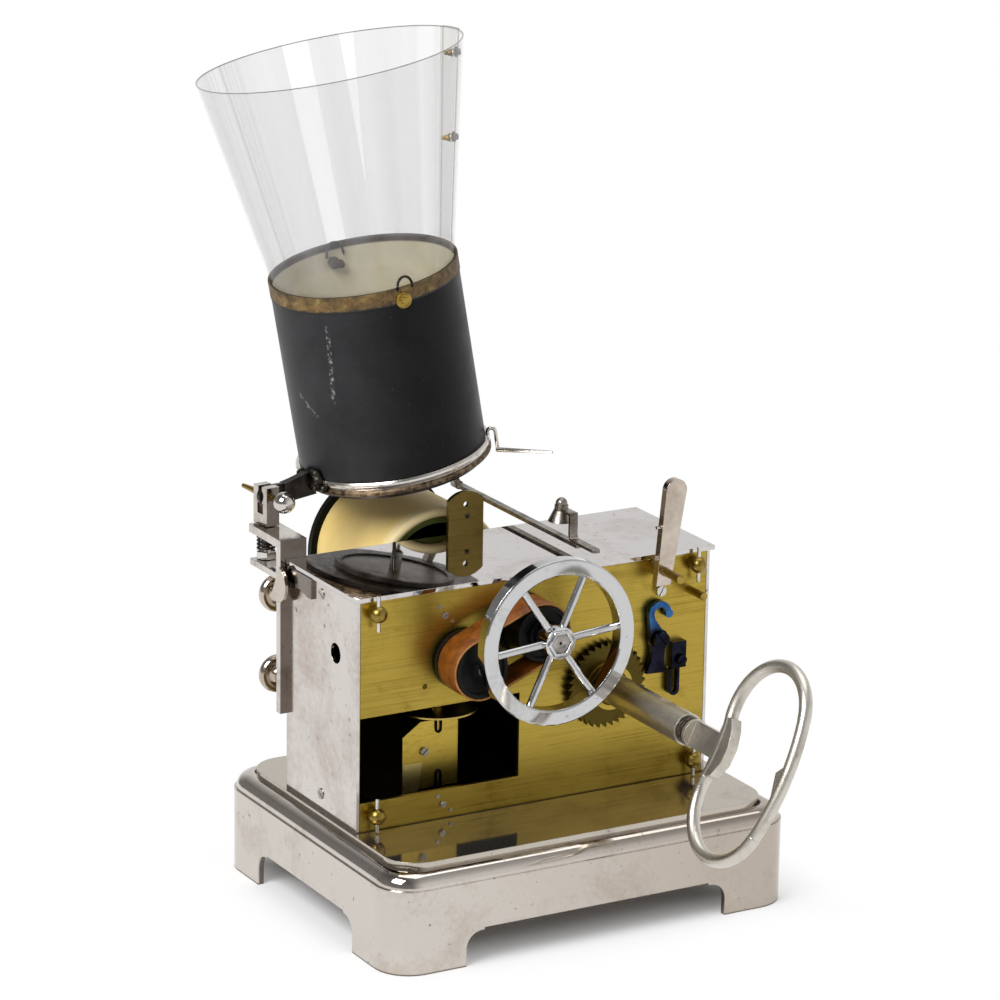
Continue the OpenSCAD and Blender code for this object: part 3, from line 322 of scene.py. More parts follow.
def steel(name, light, dark, gloss):
    """Plain steel with a satin, slightly uneven surface."""
    paint = Paint(name, Metallic=1.0)
    here = paint.place()
    satin = paint.noise(here, 130, detail=4.0, rough=0.6)
    colour = paint.ramp(satin, (0.35, tone(dark)), (0.65, tone(light)))
    rough = paint.ramp(paint.noise(here, 300, detail=3.0), (0.3, gloss), (0.7, gloss + 0.2))
    relief = paint.noise(here, 900, detail=2.0)
    return paint.finish(colour, rough, relief, strength=0.08, depth=0.1, edge=0.2)


def blued(name):
    """Heat-blued steel: violet-black, with clear blue on the hook of the click and one bright screw."""
    paint = Paint(name, Metallic=1.0)
    here = paint.place()
    heat = paint.noise(here, 120, detail=3.0, rough=0.6, twist=0.4)
    colour = paint.ramp(heat, (0.34, tone("121116")), (0.55, tone("1e1f2c")), (0.72, tone("282133")))
    hook = paint.step(paint.part(here, Z), middle("click").z + 1.5 * MM, middle("click").z + 8 * MM)
    colour = paint.mix(hook, colour, paint.ramp(heat, (0.4, tone("24406f")), (0.65, tone("3d6a9c"))))
    colour = paint.mix(bank_screw(paint, here), colour, tone("c9c5be"))
    rough = paint.ramp(heat, (0.3, 0.16), (0.7, 0.3))
    relief = paint.noise(here, 900, detail=2.0)
    return paint.finish(colour, rough, relief, strength=0.08, depth=0.1, edge=0.25)


def enamel(name, base, shade, gloss, shine, other=None):
    """Paint or lacquer with faint mottling; other returns a mask and the colour that shows there."""
    paint = Paint(name, Specular_IOR_Level=shine)
    here = paint.place()
    colour = paint.ramp(paint.noise(here, 160, detail=4.0, rough=0.6), (0.3, tone(shade)), (0.7, tone(base)))
    if other:
        mask, under = other(paint, here)
        colour = paint.mix(mask, colour, under)
    rough = paint.ramp(paint.noise(here, 500, detail=3.0), (0.3, gloss), (0.7, gloss + 0.15))
    return paint.finish(colour, rough, paint.noise(here, 700, detail=3.0), strength=0.1, depth=0.1, edge=0.3)


def leather(name, base, deep, gloss):
    """Smooth tan leather with darker handling marks."""
    paint = Paint(name, Specular_IOR_Level=0.3)
    here = paint.place()
    marks = paint.noise(here, 190, detail=5.0, rough=0.65, twist=0.5)
    colour = paint.ramp(marks, (0.32, tone(deep)), (0.6, tone(base)))
    rough = paint.ramp(marks, (0.3, gloss), (0.7, gloss + 0.18))
    pores = paint.noise(here, 2600, detail=3.0, rough=0.6)
    return paint.finish(colour, rough, pores, strength=0.25, depth=0.1)


def rub(paint, local, start, end):
    """Mask of one rubbed streak on the tube between two places."""
    turn, rise = paint.turn(local), paint.part(local, Z)
    arc = paint.math("MULTIPLY", paint.math("SUBTRACT", turn, start[0]), math.radians(1.0) * TUBE_R / MM)
    climb = paint.math("SUBTRACT", paint.math("DIVIDE", rise, MM), start[1])
    run = Vector((math.radians(end[0] - start[0]) * TUBE_R / MM, end[1] - start[1]))
    length = run.length
    run.normalize()
    along = paint.math("ADD", paint.times(arc, run.x), paint.times(climb, run.y))
    across = paint.math("SUBTRACT", paint.times(climb, run.x), paint.times(arc, run.y))
    broken = paint.ramp(paint.noise(local, 620, detail=4.0, rough=0.7, twist=0.3), (0.50, 0.0), (0.64, 1.0))
    inside = paint.band(across, -RUB_HALF_WIDTH, RUB_HALF_WIDTH, RUB_HALF_WIDTH)
    return paint.times(paint.band(along, 0.0, length, 3.0), inside, broken)


def black_board(name):
    """Black paper over card with a fine tooth, a soft sheen, a painted sheen that lightens its left side,
    rubbed streaks and a grey-tan lining.
    """
    paint = Paint(name, Specular_IOR_Level=0.13)
    local = paint.horn()
    clouds = paint.noise(local, 60, detail=5.0, rough=0.6)
    colour = paint.ramp(clouds, (0.3, tone("0b0b0d")), (0.7, tone("151517")))
    # Painted sheen: the left side of the tube is painted lighter grey
    painted_sheen = paint.step(paint.part(local, X), 0.0, -TUBE_R)
    painted_sheen = paint.times(painted_sheen, paint.ramp(clouds, (0.3, 0.5), (0.7, 0.9)))
    colour = paint.mix(painted_sheen, colour, tone("363638"))
    fine = paint.noise(local, 900, detail=4.0, rough=0.7)
    colour = paint.mix(paint.ramp(fine, (0.62, 0.0), (0.74, 0.35)), colour, tone("59595a"))
    for start, end in RUBBED:
        colour = paint.mix(paint.times(rub(paint, local, start, end), 0.7), colour, tone("9a9a98"))
    fibres = paint.noise(local, 90, detail=5.0, rough=0.65)
    lining = paint.ramp(fibres, (0.3, tone("cac1a2")), (0.7, tone("ded5b8")))
    rim = paint.step(paint.part(local, Z), TUBE_TOP - 3.4 * MM, TUBE_TOP - 2.4 * MM)
    lining = paint.mix(rim, lining, tone("3d2e1c"))
    inside = paint.step(paint.radius(local), TUBE_R - 0.4 * MM, TUBE_R - 0.6 * MM)
    colour = paint.mix(inside, colour, lining)
    rough = paint.mix(inside, paint.ramp(clouds, (0.3, 0.34), (0.7, 0.46)), (0.8, 0.8, 0.8))
    tooth = paint.noise(local, 1100, detail=4.0, rough=0.6)
    return paint.finish(colour, rough, tooth, strength=0.18, depth=0.1)


def brown_board(name):
    """Worn brown paper with pale rubbed and dark broken places, torn along its lower edge."""
    paint = Paint(name)
    local = paint.horn()
    wear = paint.noise(local, 210, detail=6.0, rough=0.72, twist=0.6)
    colour = paint.ramp(wear, (0.30, tone("1d160a")), (0.44, tone("4f3b1a")), (0.58, tone("6b5224")),
                        (0.72, tone("8f7a44")))
    tears = paint.times(paint.noise(local, 330, detail=4.0, rough=0.6), 2.2 * MM)
    ragged = paint.math("ADD", paint.part(local, Z), tears)
    torn = paint.step(ragged, TUBE_TOP - 4.4 * MM, TUBE_TOP - 4.9 * MM)
    colour = paint.mix(torn, colour, tone("1b1a1a"))
    return paint.finish(colour, paint.ramp(wear, (0.3, 0.7), (0.7, 0.5)), wear, strength=0.4, depth=0.25)


def clear_sheet(name):
    """Clear celluloid: a faint grey body with pale bands of painted reflection, a seam between two lines and
    a dark rim.

    The sheet is wholly clear inside the tube, where its lap lies against the lining.
    """
    paint = Paint(name, Roughness=0.06, IOR=1.5)
    local = paint.horn()
    turn, rise = paint.turn(local), paint.part(local, Z)
    angle = paint.math("RADIANS", turn)
    around = paint.add("CombineXYZ", paint.math("COSINE", angle), paint.math("SINE", angle), 0.0).outputs[0]
    drift = paint.noise(around, 3.0, detail=2.0, rough=0.5)
    haze = paint.ramp(drift, (0.36, 0.10), (0.64, 0.17))
    # Painted reflections: pale bands on the far wall, in degrees: a broad one, one that narrows downward, a
    # soft one by the seam
    broad, narrowing, by_seam = (73.0, 84.5), 55.3, (11.0, 18.0)
    taper_foot, taper_height, taper_half_width = TUBE_TOP + 17 * MM, 62 * MM, 3.4
    off_centre = paint.math("ABSOLUTE", paint.math("SUBTRACT", turn, narrowing))
    taper = paint.times(paint.math("SUBTRACT", rise, taper_foot), taper_half_width / taper_height)
    pale = paint.math("MAXIMUM", paint.band(turn, *broad, 0.6),
                      paint.step(paint.math("SUBTRACT", taper, off_centre), 0.0, 0.4))
    pale = paint.math("MAXIMUM", pale, paint.times(paint.band(turn, *by_seam, 4.0), 0.6))
    haze = paint.times(haze, paint.math("SUBTRACT", 1.0, pale))
    # Age marks up the left side, in degrees round the horn
    aged_side = (116.0, 150.0)
    streaks = paint.ramp(paint.noise(around, 26.0, detail=3.0, rough=0.6), (0.46, 0.0), (0.62, 1.0))
    aged = paint.times(paint.band(turn, *aged_side, 12.0), streaks)
    haze = paint.math("ADD", haze, paint.times(aged, 0.09))
    seam = paint.band(turn, SEAM_TURN, SEAM_TURN + SEAM_WIDE, 0.2)
    haze = paint.math("ADD", haze, paint.times(seam, 0.05))
    for edge in (SEAM_TURN, SEAM_TURN + SEAM_WIDE):
        haze = paint.math("ADD", haze, paint.times(paint.band(turn, edge - 0.15, edge + 0.15, 0.3), 0.3))
    fall = math.tan(RIM_SLOPE)
    level = paint.math("ADD", rise, paint.times(paint.part(local, X), fall * math.sin(RIM_TURN)))
    level = paint.math("ADD", level, paint.times(paint.part(local, Y), fall * math.cos(RIM_TURN)))
    rim = paint.step(level, TUBE_TOP + RIM_RISE - 1.0 * MM, TUBE_TOP + RIM_RISE - 0.8 * MM)
    haze = paint.math("ADD", haze, paint.times(rim, 0.6))
    above = paint.step(rise, TUBE_TOP - 0.8 * MM, TUBE_TOP - 0.4 * MM)
    paint.put(paint.shader.inputs["Alpha"], paint.times(haze, above))
    colour = paint.ramp(drift, (0.3, tone("aaaaac")), (0.7, tone("b8b8ba")))
    colour = paint.mix(paint.math("MAXIMUM", aged, seam), colour, tone("8f8878"))
    return paint.finish(paint.mix(rim, colour, tone("57544e")))


def celluloid(name):
    """Cream record: satin, with fine grooves round its length and a paler lip."""
    paint = Paint(name, Specular_IOR_Level=0.25)
    grooves = paint.noise(paint.place((2.0, 2600.0, 2.0)), 1.0, detail=2.0, rough=0.5)
    clouds = paint.noise(paint.place(), 45, detail=4.0, rough=0.6)
    colour = paint.ramp(clouds, (0.3, tone("f0d080")), (0.65, tone("f8dc92")))
    mouth = low("record_cylinder").y
    lip = paint.step(paint.part(paint.place(), Y), mouth + 7 * MM, mouth + 3 * MM)
    colour = paint.mix(lip, colour, tone("f8e4ae"))
    rough = paint.ramp(grooves, (0.3, 0.42), (0.7, 0.5))
    return paint.finish(colour, rough, grooves, strength=0.02, depth=0.1, edge=0.5)


def mica(name):
    """Dark amber mica disc."""
    paint = Paint(name, Transmission_Weight=0.4)
    flakes = paint.noise(paint.place(), 160, detail=4.0, rough=0.6)
    colour = paint.ramp(flakes, (0.3, tone("4a3f2c")), (0.7, tone("74654a")))
    return paint.finish(colour, paint.ramp(flakes, (0.3, 0.25), (0.7, 0.4)))


def front_shade(paint, here):
    """Mask of painted shade on the front plate: its brass behind its face, and part of it toward its foot.
    """
    behind = paint.step(paint.part(here, Y), FRONT_Y + 1.2 * MM, FRONT_Y + 1.8 * MM)
    low_down = paint.times(paint.step(paint.part(here, Z), DECK_Z + 34 * MM, DECK_Z + 8 * MM), 0.25)
    return paint.math("MAXIMUM", behind, low_down)


def inside_case(paint, here):
    """Mask of painted shade on what stands between the outer faces of the brass plates, under the top."""
    between = paint.band(paint.part(here, Y), FRONT_Y + 0.4 * MM, BACK_Y - 0.4 * MM, 0.3 * MM)
    return paint.times(between, paint.step(paint.part(here, Z), TOP_Z + 0.2 * MM, TOP_Z - 0.2 * MM))


def solder_below(paint, here):
    """Brown solder and dirt under the rolled lip of the ring."""
    local = paint.horn()
    under = paint.step(paint.part(local, Z), TUBE_LOW + 1.8 * MM, TUBE_LOW + 1.2 * MM)
    near = paint.step(paint.radius(local), TUBE_R + 2.6 * MM, TUBE_R + 2.2 * MM)
    grime = paint.noise(here, 420, detail=4.0, rough=0.7)
    dirt = paint.ramp(grime, (0.38, tone("3a3027")), (0.62, tone("86745d")))
    return paint.times(under, near), dirt, 0.45


def dark_inside(paint, here):
    """Inner faces of the end plates, dull and painted dark: painted shade inside the case."""
    between = paint.band(paint.part(here, X), LEFT_X + 1.3 * MM, RIGHT_X - 1.3 * MM, 0.1 * MM)
    return between, tone("6a5c30"), 0.4


def plate_joint(paint, here):
    """Dirt on the deck along the foot of the front plate."""
    wobble = paint.times(paint.noise(here, 300, detail=4.0, rough=0.7), 0.8 * MM)
    ragged = paint.math("ADD", paint.part(here, Y), wobble)
    along = paint.band(paint.part(here, X), LEFT_X, RIGHT_X, 0.3 * MM)
    foot = paint.band(ragged, FRONT_Y - 0.6 * MM, FRONT_Y + 0.4 * MM, 0.2 * MM)
    return paint.times(foot, along, 0.85), tone("1d180d"), 0.6


def beyond_base(paint, here):
    """How far a point lies outside the base's box along X and along Y."""
    places = [paint.math("ABSOLUTE", paint.part(here, axis)) for axis in (X, Y)]
    return [paint.math("SUBTRACT", place, half("base_shell")[axis]) for axis, place in enumerate(places)]


def base_tint_and_shade(paint, here):
    """Browner toward the right of the base, and painted shade on the soles and cut edges of its feet."""
    right = paint.times(paint.step(paint.part(here, X), low("base_shell").x, high("base_shell").x), 0.6)
    beyond = beyond_base(paint, here)
    behind_skin = paint.step(paint.math("MAXIMUM", *beyond), -0.4 * MM, -0.7 * MM)
    off_corner = paint.step(paint.math("MINIMUM", *beyond), -18 * MM, -21 * MM)
    cut = paint.times(behind_skin, off_corner, paint.step(paint.part(here, Z), 17 * MM, 15 * MM))
    sole = paint.step(paint.part(here, Z), 0.9 * MM, 0.3 * MM)
    # Painted shade on the cut faces and soles of the feet
    dirt = paint.times(paint.math("MAXIMUM", cut, sole), 0.85)
    return paint.math("MAXIMUM", right, dirt), paint.mix(dirt, tone("a8998a"), tone("332c26")), 0.12


def bank_screw(paint, here):
    """The bright screw under the lever, above the blued ones."""
    foot = high("plate_screws").z - 4.8 * MM
    return paint.step(paint.part(here, Z), foot, foot + 0.2 * MM)


def brown_ear_and_shade(paint, here):
    """Brown on the ear, and painted shade on the faces of the bracket that look forward."""
    # Painted shade: faces whose normal points forward go dark brown
    ahead = paint.part(paint.add("TexCoord").outputs["Normal"], Y)
    facing_front = paint.times(paint.step(ahead, -0.4, -0.8), 0.7)
    ear = paint.times(paint.step(paint.part(here, Y), BACK_Y + 0.5 * MM, BACK_Y), 0.8)
    return paint.math("MAXIMUM", facing_front, ear), tone("5f534b"), 0.14


def worn_collar(paint, here):
    """Brown dirt on the ring and in the grooves where the blade of the key meets its socket."""
    grooves = paint.band(paint.part(here, Y), KEY_COLLAR + 1.4 * MM, KEY_COLLAR + 4.7 * MM, 0.15 * MM)
    grime = paint.noise(here, 700, detail=4.0, rough=0.7)
    dirt = paint.ramp(grime, (0.40, tone("2a211b")), (0.62, tone("85766a")))
    return paint.times(grooves, 0.9), dirt, 0.4


def brass_pin(paint, here):
    """Brass of the pivot pin behind its nickel ball."""
    ball_back = low("pivot_pin").y + 8.6 * MM
    return paint.step(paint.part(here, Y), ball_back, ball_back + 0.6 * MM), tone("9c8345"), 0.3


def drum_front(paint, here):
    """Olive-green ring in the mouth of the record, black behind it."""
    depth = paint.part(here, Y)
    face = paint.step(depth, low("mandrel_drum").y + 5.4 * MM, low("mandrel_drum").y + 4.6 * MM)
    return face, tone("66713a")


def ratchet_teeth(paint, here):
    """Mask of the darker toothed rim round the bright boss of the ratchet."""
    x = paint.math("SUBTRACT", paint.part(here, X), KEY_AXIS.x)
    z = paint.math("SUBTRACT", paint.part(here, Z), KEY_AXIS.z)
    span = paint.math("SQRT", paint.math("ADD", paint.times(x, x), paint.times(z, z)))
    return paint.times(paint.step(span, 9.2 * MM, 9.6 * MM), 0.85)


# Each recipe is the maker of a material and the values that it takes
RECIPES = {
    "top_nickel": (nickel, dict(clean="cfcbc9", stain="b3a8a2", share=0.35, gloss=0.02, pits=0.7)),
    "lever_nickel": (nickel, dict(clean="c9beb1", stain="a99b8c", share=0.40, gloss=0.10, edge=0.4)),
    "side_nickel": (nickel, dict(clean="d3cdc8", stain="b5a69d", share=0.50, gloss=0.10, pits=0.8,
                                 wear_and_shade=dark_inside)),
    "base_nickel": (nickel, dict(clean="cec7bf", stain="b7aca0", share=0.35, gloss=0.05, edge=0.6, pits=0.8,
                                 wear_and_shade=base_tint_and_shade)),
    "deck_nickel": (nickel, dict(clean="bfb7ab", stain="a3988b", share=0.30, gloss=0.05, edge=0.4, pits=0.4,
                                 wear_and_shade=plate_joint, metal=0.955)),
    "key_nickel": (nickel, dict(clean="d3cec4", stain="b1a89b", share=0.35, gloss=0.24, edge=0.5,
                                wear_and_shade=worn_collar)),
    "bracket_nickel": (nickel, dict(clean="d2ccc5", stain="94867a", share=0.45, gloss=0.07, wear_and_shade=brown_ear_and_shade)),
    "ring_nickel": (nickel, dict(clean="d9d4cd", stain="a8998a", share=0.40, gloss=0.12, pits=0.4,
                                 wear_and_shade=solder_below)),
    "pin_nickel": (nickel, dict(clean="cfcac4", stain="9a928a", share=0.40, gloss=0.06, edge=0.3,
                                wear_and_shade=brass_pin)),
    "wheel_nickel": (nickel, dict(clean="c9c9ca", stain="afadaa", share=0.25, gloss=0.04, edge=0.6,
                                  pits=0.3)),
    "front_brass": (brass, dict(light="b49b45", deep="8c752a", along=DRAWN, gloss=0.24, inside=front_shade)),
    "dark_brass": (brass, dict(light="5a4a1c", deep="31280f", along=TURNED, gloss=0.28, inside=inside_case)),
    "ratchet_brass": (brass, dict(light="b59c45", deep="8a7128", along=TURNED, gloss=0.22,
                                  inside=ratchet_teeth)),
    "tab_brass": (brass, dict(light="84713d", deep="5b4c26", along=DRAWN, gloss=0.30, inside=inside_case)),
    "disc_brass": (brass, dict(light="c2aa5e", deep="93793a", along=DISC, gloss=0.22)),
    "stud_brass": (brass, dict(light="ab8f46", deep="6e5824", along=TURNED, gloss=0.24)),
    "pillar_brass": (brass, dict(light="97803f", deep="655224", along=TURNED, gloss=0.24,
                                 inside=inside_case)),
    "vane_brass": (brass, dict(light="c9ae4e", deep="957b2c", along=SHEET, gloss=0.24)),
    "flap_brass": (brass, dict(light="dcc67e", deep="ab9350", along=SHEET, gloss=0.26)),
    "steel": (steel, dict(light="bdb9b4", dark="8b8781", gloss=0.2)),
    "bright_steel": (steel, dict(light="e3e1dd", dark="b9b6b1", gloss=0.12)),
    "dark_steel": (steel, dict(light="4a4540", dark="2b2825", gloss=0.28)),
    "bar_steel": (steel, dict(light="a39b92", dark="5d554d", gloss=0.22)),
    "blued": (blued, {}),
    "pulley_black": (enamel, dict(base="161616", shade="0a0a0a", gloss=0.3, shine=0.16)),
    "drum_green": (enamel, dict(base="10120d", shade="060706", gloss=0.42, shine=0.1, other=drum_front)),
    "belt_leather": (leather, dict(base="7f450d", deep="562b06", gloss=0.38)),
    "belt_edge": (leather, dict(base="a9783f", deep="774a1e", gloss=0.6)),
    "black_board": (black_board, {}),
    "brown_board": (brown_board, {}),
    "clear_sheet": (clear_sheet, {}),
    "celluloid": (celluloid, {}),
    "mica": (mica, {}),
}
MATERIALS = {name: make(name, **values) for name, (make, values) in RECIPES.items()}

FINISHES = {
    "top_nickel": ("top_plate",),
    "lever_nickel": ("start_lever", "catch_leaf"),
    "side_nickel": ("left_end_plate", "right_end_plate"),
    "base_nickel": ("base_shell",),
    "deck_nickel": ("base_top",),
    "key_nickel": ("winding_key",),
    "bracket_nickel": ("horn_post", "pivot_block"),
    "ring_nickel": ("horn_ring",),
    "pin_nickel": ("pivot_pin",),
    "wheel_nickel": ("flywheel",),
    "front_brass": ("front_plate",),
    "dark_brass": ("spring_barrel", "intermediate_wheel", "governor_wheel", "governor_cocks"),
    "ratchet_brass": ("ratchet_wheel",),
    "tab_brass": ("back_plate",),
    "disc_brass": ("governor_disc",),
    "stud_brass": ("brass_studs",),
    "pillar_brass": ("pillars",),
    "vane_brass": ("governor_vane",),
    "flap_brass": ("vane_flap",),
    "steel": ("end_screws", "winding_arbor", "mandrel_arbor", "pulley_arbor", "intermediate_arbor",
              "vane_screw", "cock_fasteners", "mandrel_nut", "stylus_bar"),
    "bright_steel": ("taper_pins", "spindle"),
    "dark_steel": ("horn_arm", "mainspring", "flare_bolts", "sound_box"),
    "bar_steel": ("feed_bar", "feed_finger"),
    "blued": ("click", "click_screw", "click_spring", "plate_screws", "governor_arbor"),
    "pulley_black": ("mandrel_pulley", "drive_pulley"),
    "drum_green": ("mandrel_drum",),
    "black_board": ("horn_tube",),
    "brown_board": ("tube_band",),
    "clear_sheet": ("horn_flare",),
    "celluloid": ("record_cylinder",),
    "mica": ("diaphragm",),
}


def dress_nodes():
    """Gives every CAD node its material."""
    for finish, names in FINISHES.items():
        for name in names:
            data = NODES[name].data
            data.materials.clear()
            data.materials.append(MATERIALS[finish])


class Shape:
    """Points and faces of one new piece, in the frame's own coordinates."""

    def __init__(self):
        self.points = []
        self.faces = []
        self.tints = []

    def skin(self, rings, closed=False, tint=None):
        """Joins rings of equal length; closed joins the last to the first.

        tint, where given, gives a side's material by number.
        """
        start, sides = len(self.points), len(rings[0])
        for ring in rings:
            self.points.extend(ring)
        spans = len(rings) if closed else len(rings) - 1
        for row in range(spans):
            here, there = start + row * sides, start + (row + 1) % len(rings) * sides
            for side in range(sides):
                after = (side + 1) % sides
                self.faces.append((here + side, here + after, there + after, there + side))
                self.tints.append(tint(side) if tint else 0)
        if not closed:
            last = start + (len(rings) - 1) * sides
            self.faces.append(tuple(range(start + sides - 1, start - 1, -1)))
            self.faces.append(tuple(range(last, last + sides)))
            self.tints.extend((0, 0))

    def sweep(self, path, radius, sides):
        """Round wire along a path of points."""
        last = len(path) - 1
        rings = []
        normal = None
        for index, point in enumerate(path):
            before, after = path[max(index - 1, 0)], path[min(index + 1, last)]
            along = (after - before).normalized()
            if normal is None:
                normal = along.orthogonal().normalized()
            normal = (normal - along * normal.dot(along)).normalized()
            across = along.cross(normal)
            turns = [2 * math.pi * side / sides for side in range(sides)]
            rings.append([point + radius * (math.cos(a) * normal + math.sin(a) * across) for a in turns])
        self.skin(rings)

    def lathe(self, profile, seat, steps=40):
        """Turned form: profile is (radius, height) from end to end, in mm; seat places its Z axis."""
        rings = []
        for radius, rise in profile:
            turns = [2 * math.pi * step / steps for step in range(steps)]
            ring = [Vector((radius * MM * math.cos(a), radius * MM * math.sin(a), rise * MM)) for a in turns]
            rings.append([seat @ point for point in ring])
        self.skin(rings)

    def build(self, name, materials, body, slot, replaced=(), crease=40.0):
        """Makes the object and seats it on its body."""
        mesh = bpy.data.meshes.new(name)
        mesh.from_pydata(self.points, [], self.faces)
        for material in materials:
            mesh.materials.append(MATERIALS[material])
        for polygon, tint in zip(mesh.polygons, self.tints):
            polygon.material_index = tint
            polygon.use_smooth = True
        sheet = bmesh.new()
        sheet.from_mesh(mesh)
        bmesh.ops.recalc_face_normals(sheet, faces=sheet.faces)
        sheet.to_mesh(mesh)
        sheet.free()
        mesh.set_sharp_from_angle(angle=math.radians(crease))
        obj = bpy.data.objects.new(name, mesh)
        bpy.context.scene.collection.objects.link(obj)
        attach(obj, body)
        if replaced:
            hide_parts(*replaced)


def facing(point, direction):
    """Seat for a turned form: its Z axis along a direction from a point."""
    return Matrix.Translation(point) @ Vector(direction).to_track_quat("Z", "Y").to_matrix().to_4x4()


def on_horn(turn, rise, radius):
    """Point beside the horn: degrees round it, height up it and distance from its axis, in metres."""
    angle = math.radians(turn)
    return HORN @ Vector((radius * math.cos(angle), radius * math.sin(angle), rise))


def from_horn(turn, slope=0.0):
    """Direction straight away from the horn's axis, dropped by a slope."""
    angle = math.radians(turn)
    flat = Vector((math.cos(angle) * math.cos(slope), math.sin(angle) * math.cos(slope), -math.sin(slope)))
    return HORN.to_3x3() @ flat


def belt():
    """Leather belt round the two pulleys, with pale cut edges."""
    thick, chamfer = 0.9 * MM, 0.22 * MM
    first, second = middle("drive_pulley"), middle("mandrel_pulley")
    outer = first.x - low("drive_belt").x
    near, far = low("drive_belt").y, high("drive_belt").y
    run = second - first
    run.y = 0.0
    span = run.length
    run.normalize()
    rise = Vector((-run.z, 0.0, run.x))
    section = ((near, -chamfer), (near + chamfer, 0.0), (far - chamfer, 0.0), (far, -chamfer),
               (far, chamfer - thick), (far - chamfer, -thick),
               (near + chamfer, -thick), (near, chamfer - thick))
    arc, straight = 36, 10
    path = []
    for centre, begin in ((second, 0.0), (first, math.pi)):
        for step in range(arc + 1):
            angle = begin + math.pi * step / arc
            path.append((centre, math.cos(angle) * rise + math.sin(angle) * run))
        way = -run if begin == 0.0 else run
        for step in range(1, straight):
            path.append((centre + way * span * step / straight, math.cos(angle) * rise))
    rings = []
    for centre, out in path:
        rings.append([Vector((centre.x, y, centre.z)) + out * (outer + lift) for y, lift in section])
    shape = Shape()
    edges = (0, 2, 3, 4, 6, 7)  # sides of the section that are cut leather
    shape.skin(rings, True, lambda side: 1 if side in edges else 0)
    shape.build("belt", ("belt_leather", "belt_edge"), "frame", "leather", ("drive_belt",), 70.0)


def spring():
    """Open coil on the spindle."""
    curls, per_curl = 4, 28
    coil, wire = 3.5 * MM, 0.5 * MM
    centre = middle("spindle")
    bottom, top = low("spindle_spring").z + wire, high("spindle_spring").z - wire
    count = curls * per_curl
    path = []
    for step in range(count + 1):
        angle = 2 * math.pi * step / per_curl
        rise = bottom + (top - bottom) * step / count
        path.append(Vector((centre.x + coil * math.cos(angle), centre.y + coil * math.sin(angle), rise)))
    shape = Shape()
    shape.sweep(path, wire, sides=12)
    shape.build("spring", ("dark_steel",), "swivel", "steel", ("spindle_spring",))


def thumb_screws():
    """Two round-headed screws with rolled rims that hold the bracket."""
    head_r = 7.9
    centre = middle("post_thumbscrews")
    front, back = low("post_thumbscrews").y, high("post_thumbscrews").y
    long = (back - front) / MM
    shank = ((0.4, 0.0), (1.5, 0.3), (1.5, 6.2), (2.7, 6.6), (2.5, 9.0))
    # Radius of the head, and how far each place stands below its top
    head = ((2.5, 5.4), (3.3, 4.4), (5.2, 3.6), (6.0, 3.8), (7.0, 4.0), (7.7, 3.4), (head_r, 2.2),
            (7.8, 1.2), (7.2, 0.4), (6.2, 0.1), (5.4, 0.5), (3.4, 0.2), (1.2, 0.0))
    profile = [*shank, *((radius, long - below) for radius, below in head)]
    shape = Shape()
    for rise in (low("post_thumbscrews").z, high("post_thumbscrews").z):
        inward = head_r * MM if rise < centre.z else -head_r * MM
        shape.lathe(profile, facing(Vector((centre.x, front, rise + inward)), (0, 1, 0)))
    shape.build("thumb_screws", ("lever_nickel",), "frame", "nickel", ("post_thumbscrews",))


def arch(foot, other, top, count=14):
    """Points of a round-headed loop from one foot over a top point to the other foot."""
    centre = (foot + other) / 2
    side, rise = (other - foot) / 2, top - centre
    points = []
    for step in range(count + 1):
        angle = math.pi * step / count
        points.append(centre - side * math.cos(angle) + rise * math.sin(angle) ** 0.8)
    return points


def vane_staples():
    """Two bent wires that hold the vane on its arbor."""
    wire, wide = 0.45 * MM, 1.1 * MM
    x, y = GOVERNOR_AXIS.x, low("governor_vane").y - 0.45 * MM
    shape = Shape()
    for end, reach in ((high("governor_vane").z, -4.2 * MM), (low("governor_vane").z, 5.5 * MM)):
        start = Vector((x - wide, y, end - 0.2 * reach))
        other = Vector((x + wide, y, end - 0.2 * reach))
        rise = Vector((0, 0, reach))
        bend = arch(start + rise, other + rise, Vector((x, y, end + reach * 1.25)))
        shape.sweep([start, *bend, other], wire, sides=8)
    shape.build("vane_staples", ("blued",), "governor", "blued_steel")


def twisted(points, wire, twists):
    """Two strands wound round each other along a path."""
    strands = [[], []]
    count = len(points)
    for index, point in enumerate(points):
        before, after = points[max(index - 1, 0)], points[min(index + 1, count - 1)]
        along = (after - before).normalized()
        side = along.orthogonal().normalized()
        cross = along.cross(side)
        angle = twists * 2 * math.pi * index / count
        for number, strand in enumerate(strands):
            turn = angle + number * math.pi
            strand.append(point + wire * (math.cos(turn) * side + math.sin(turn) * cross))
    return strands


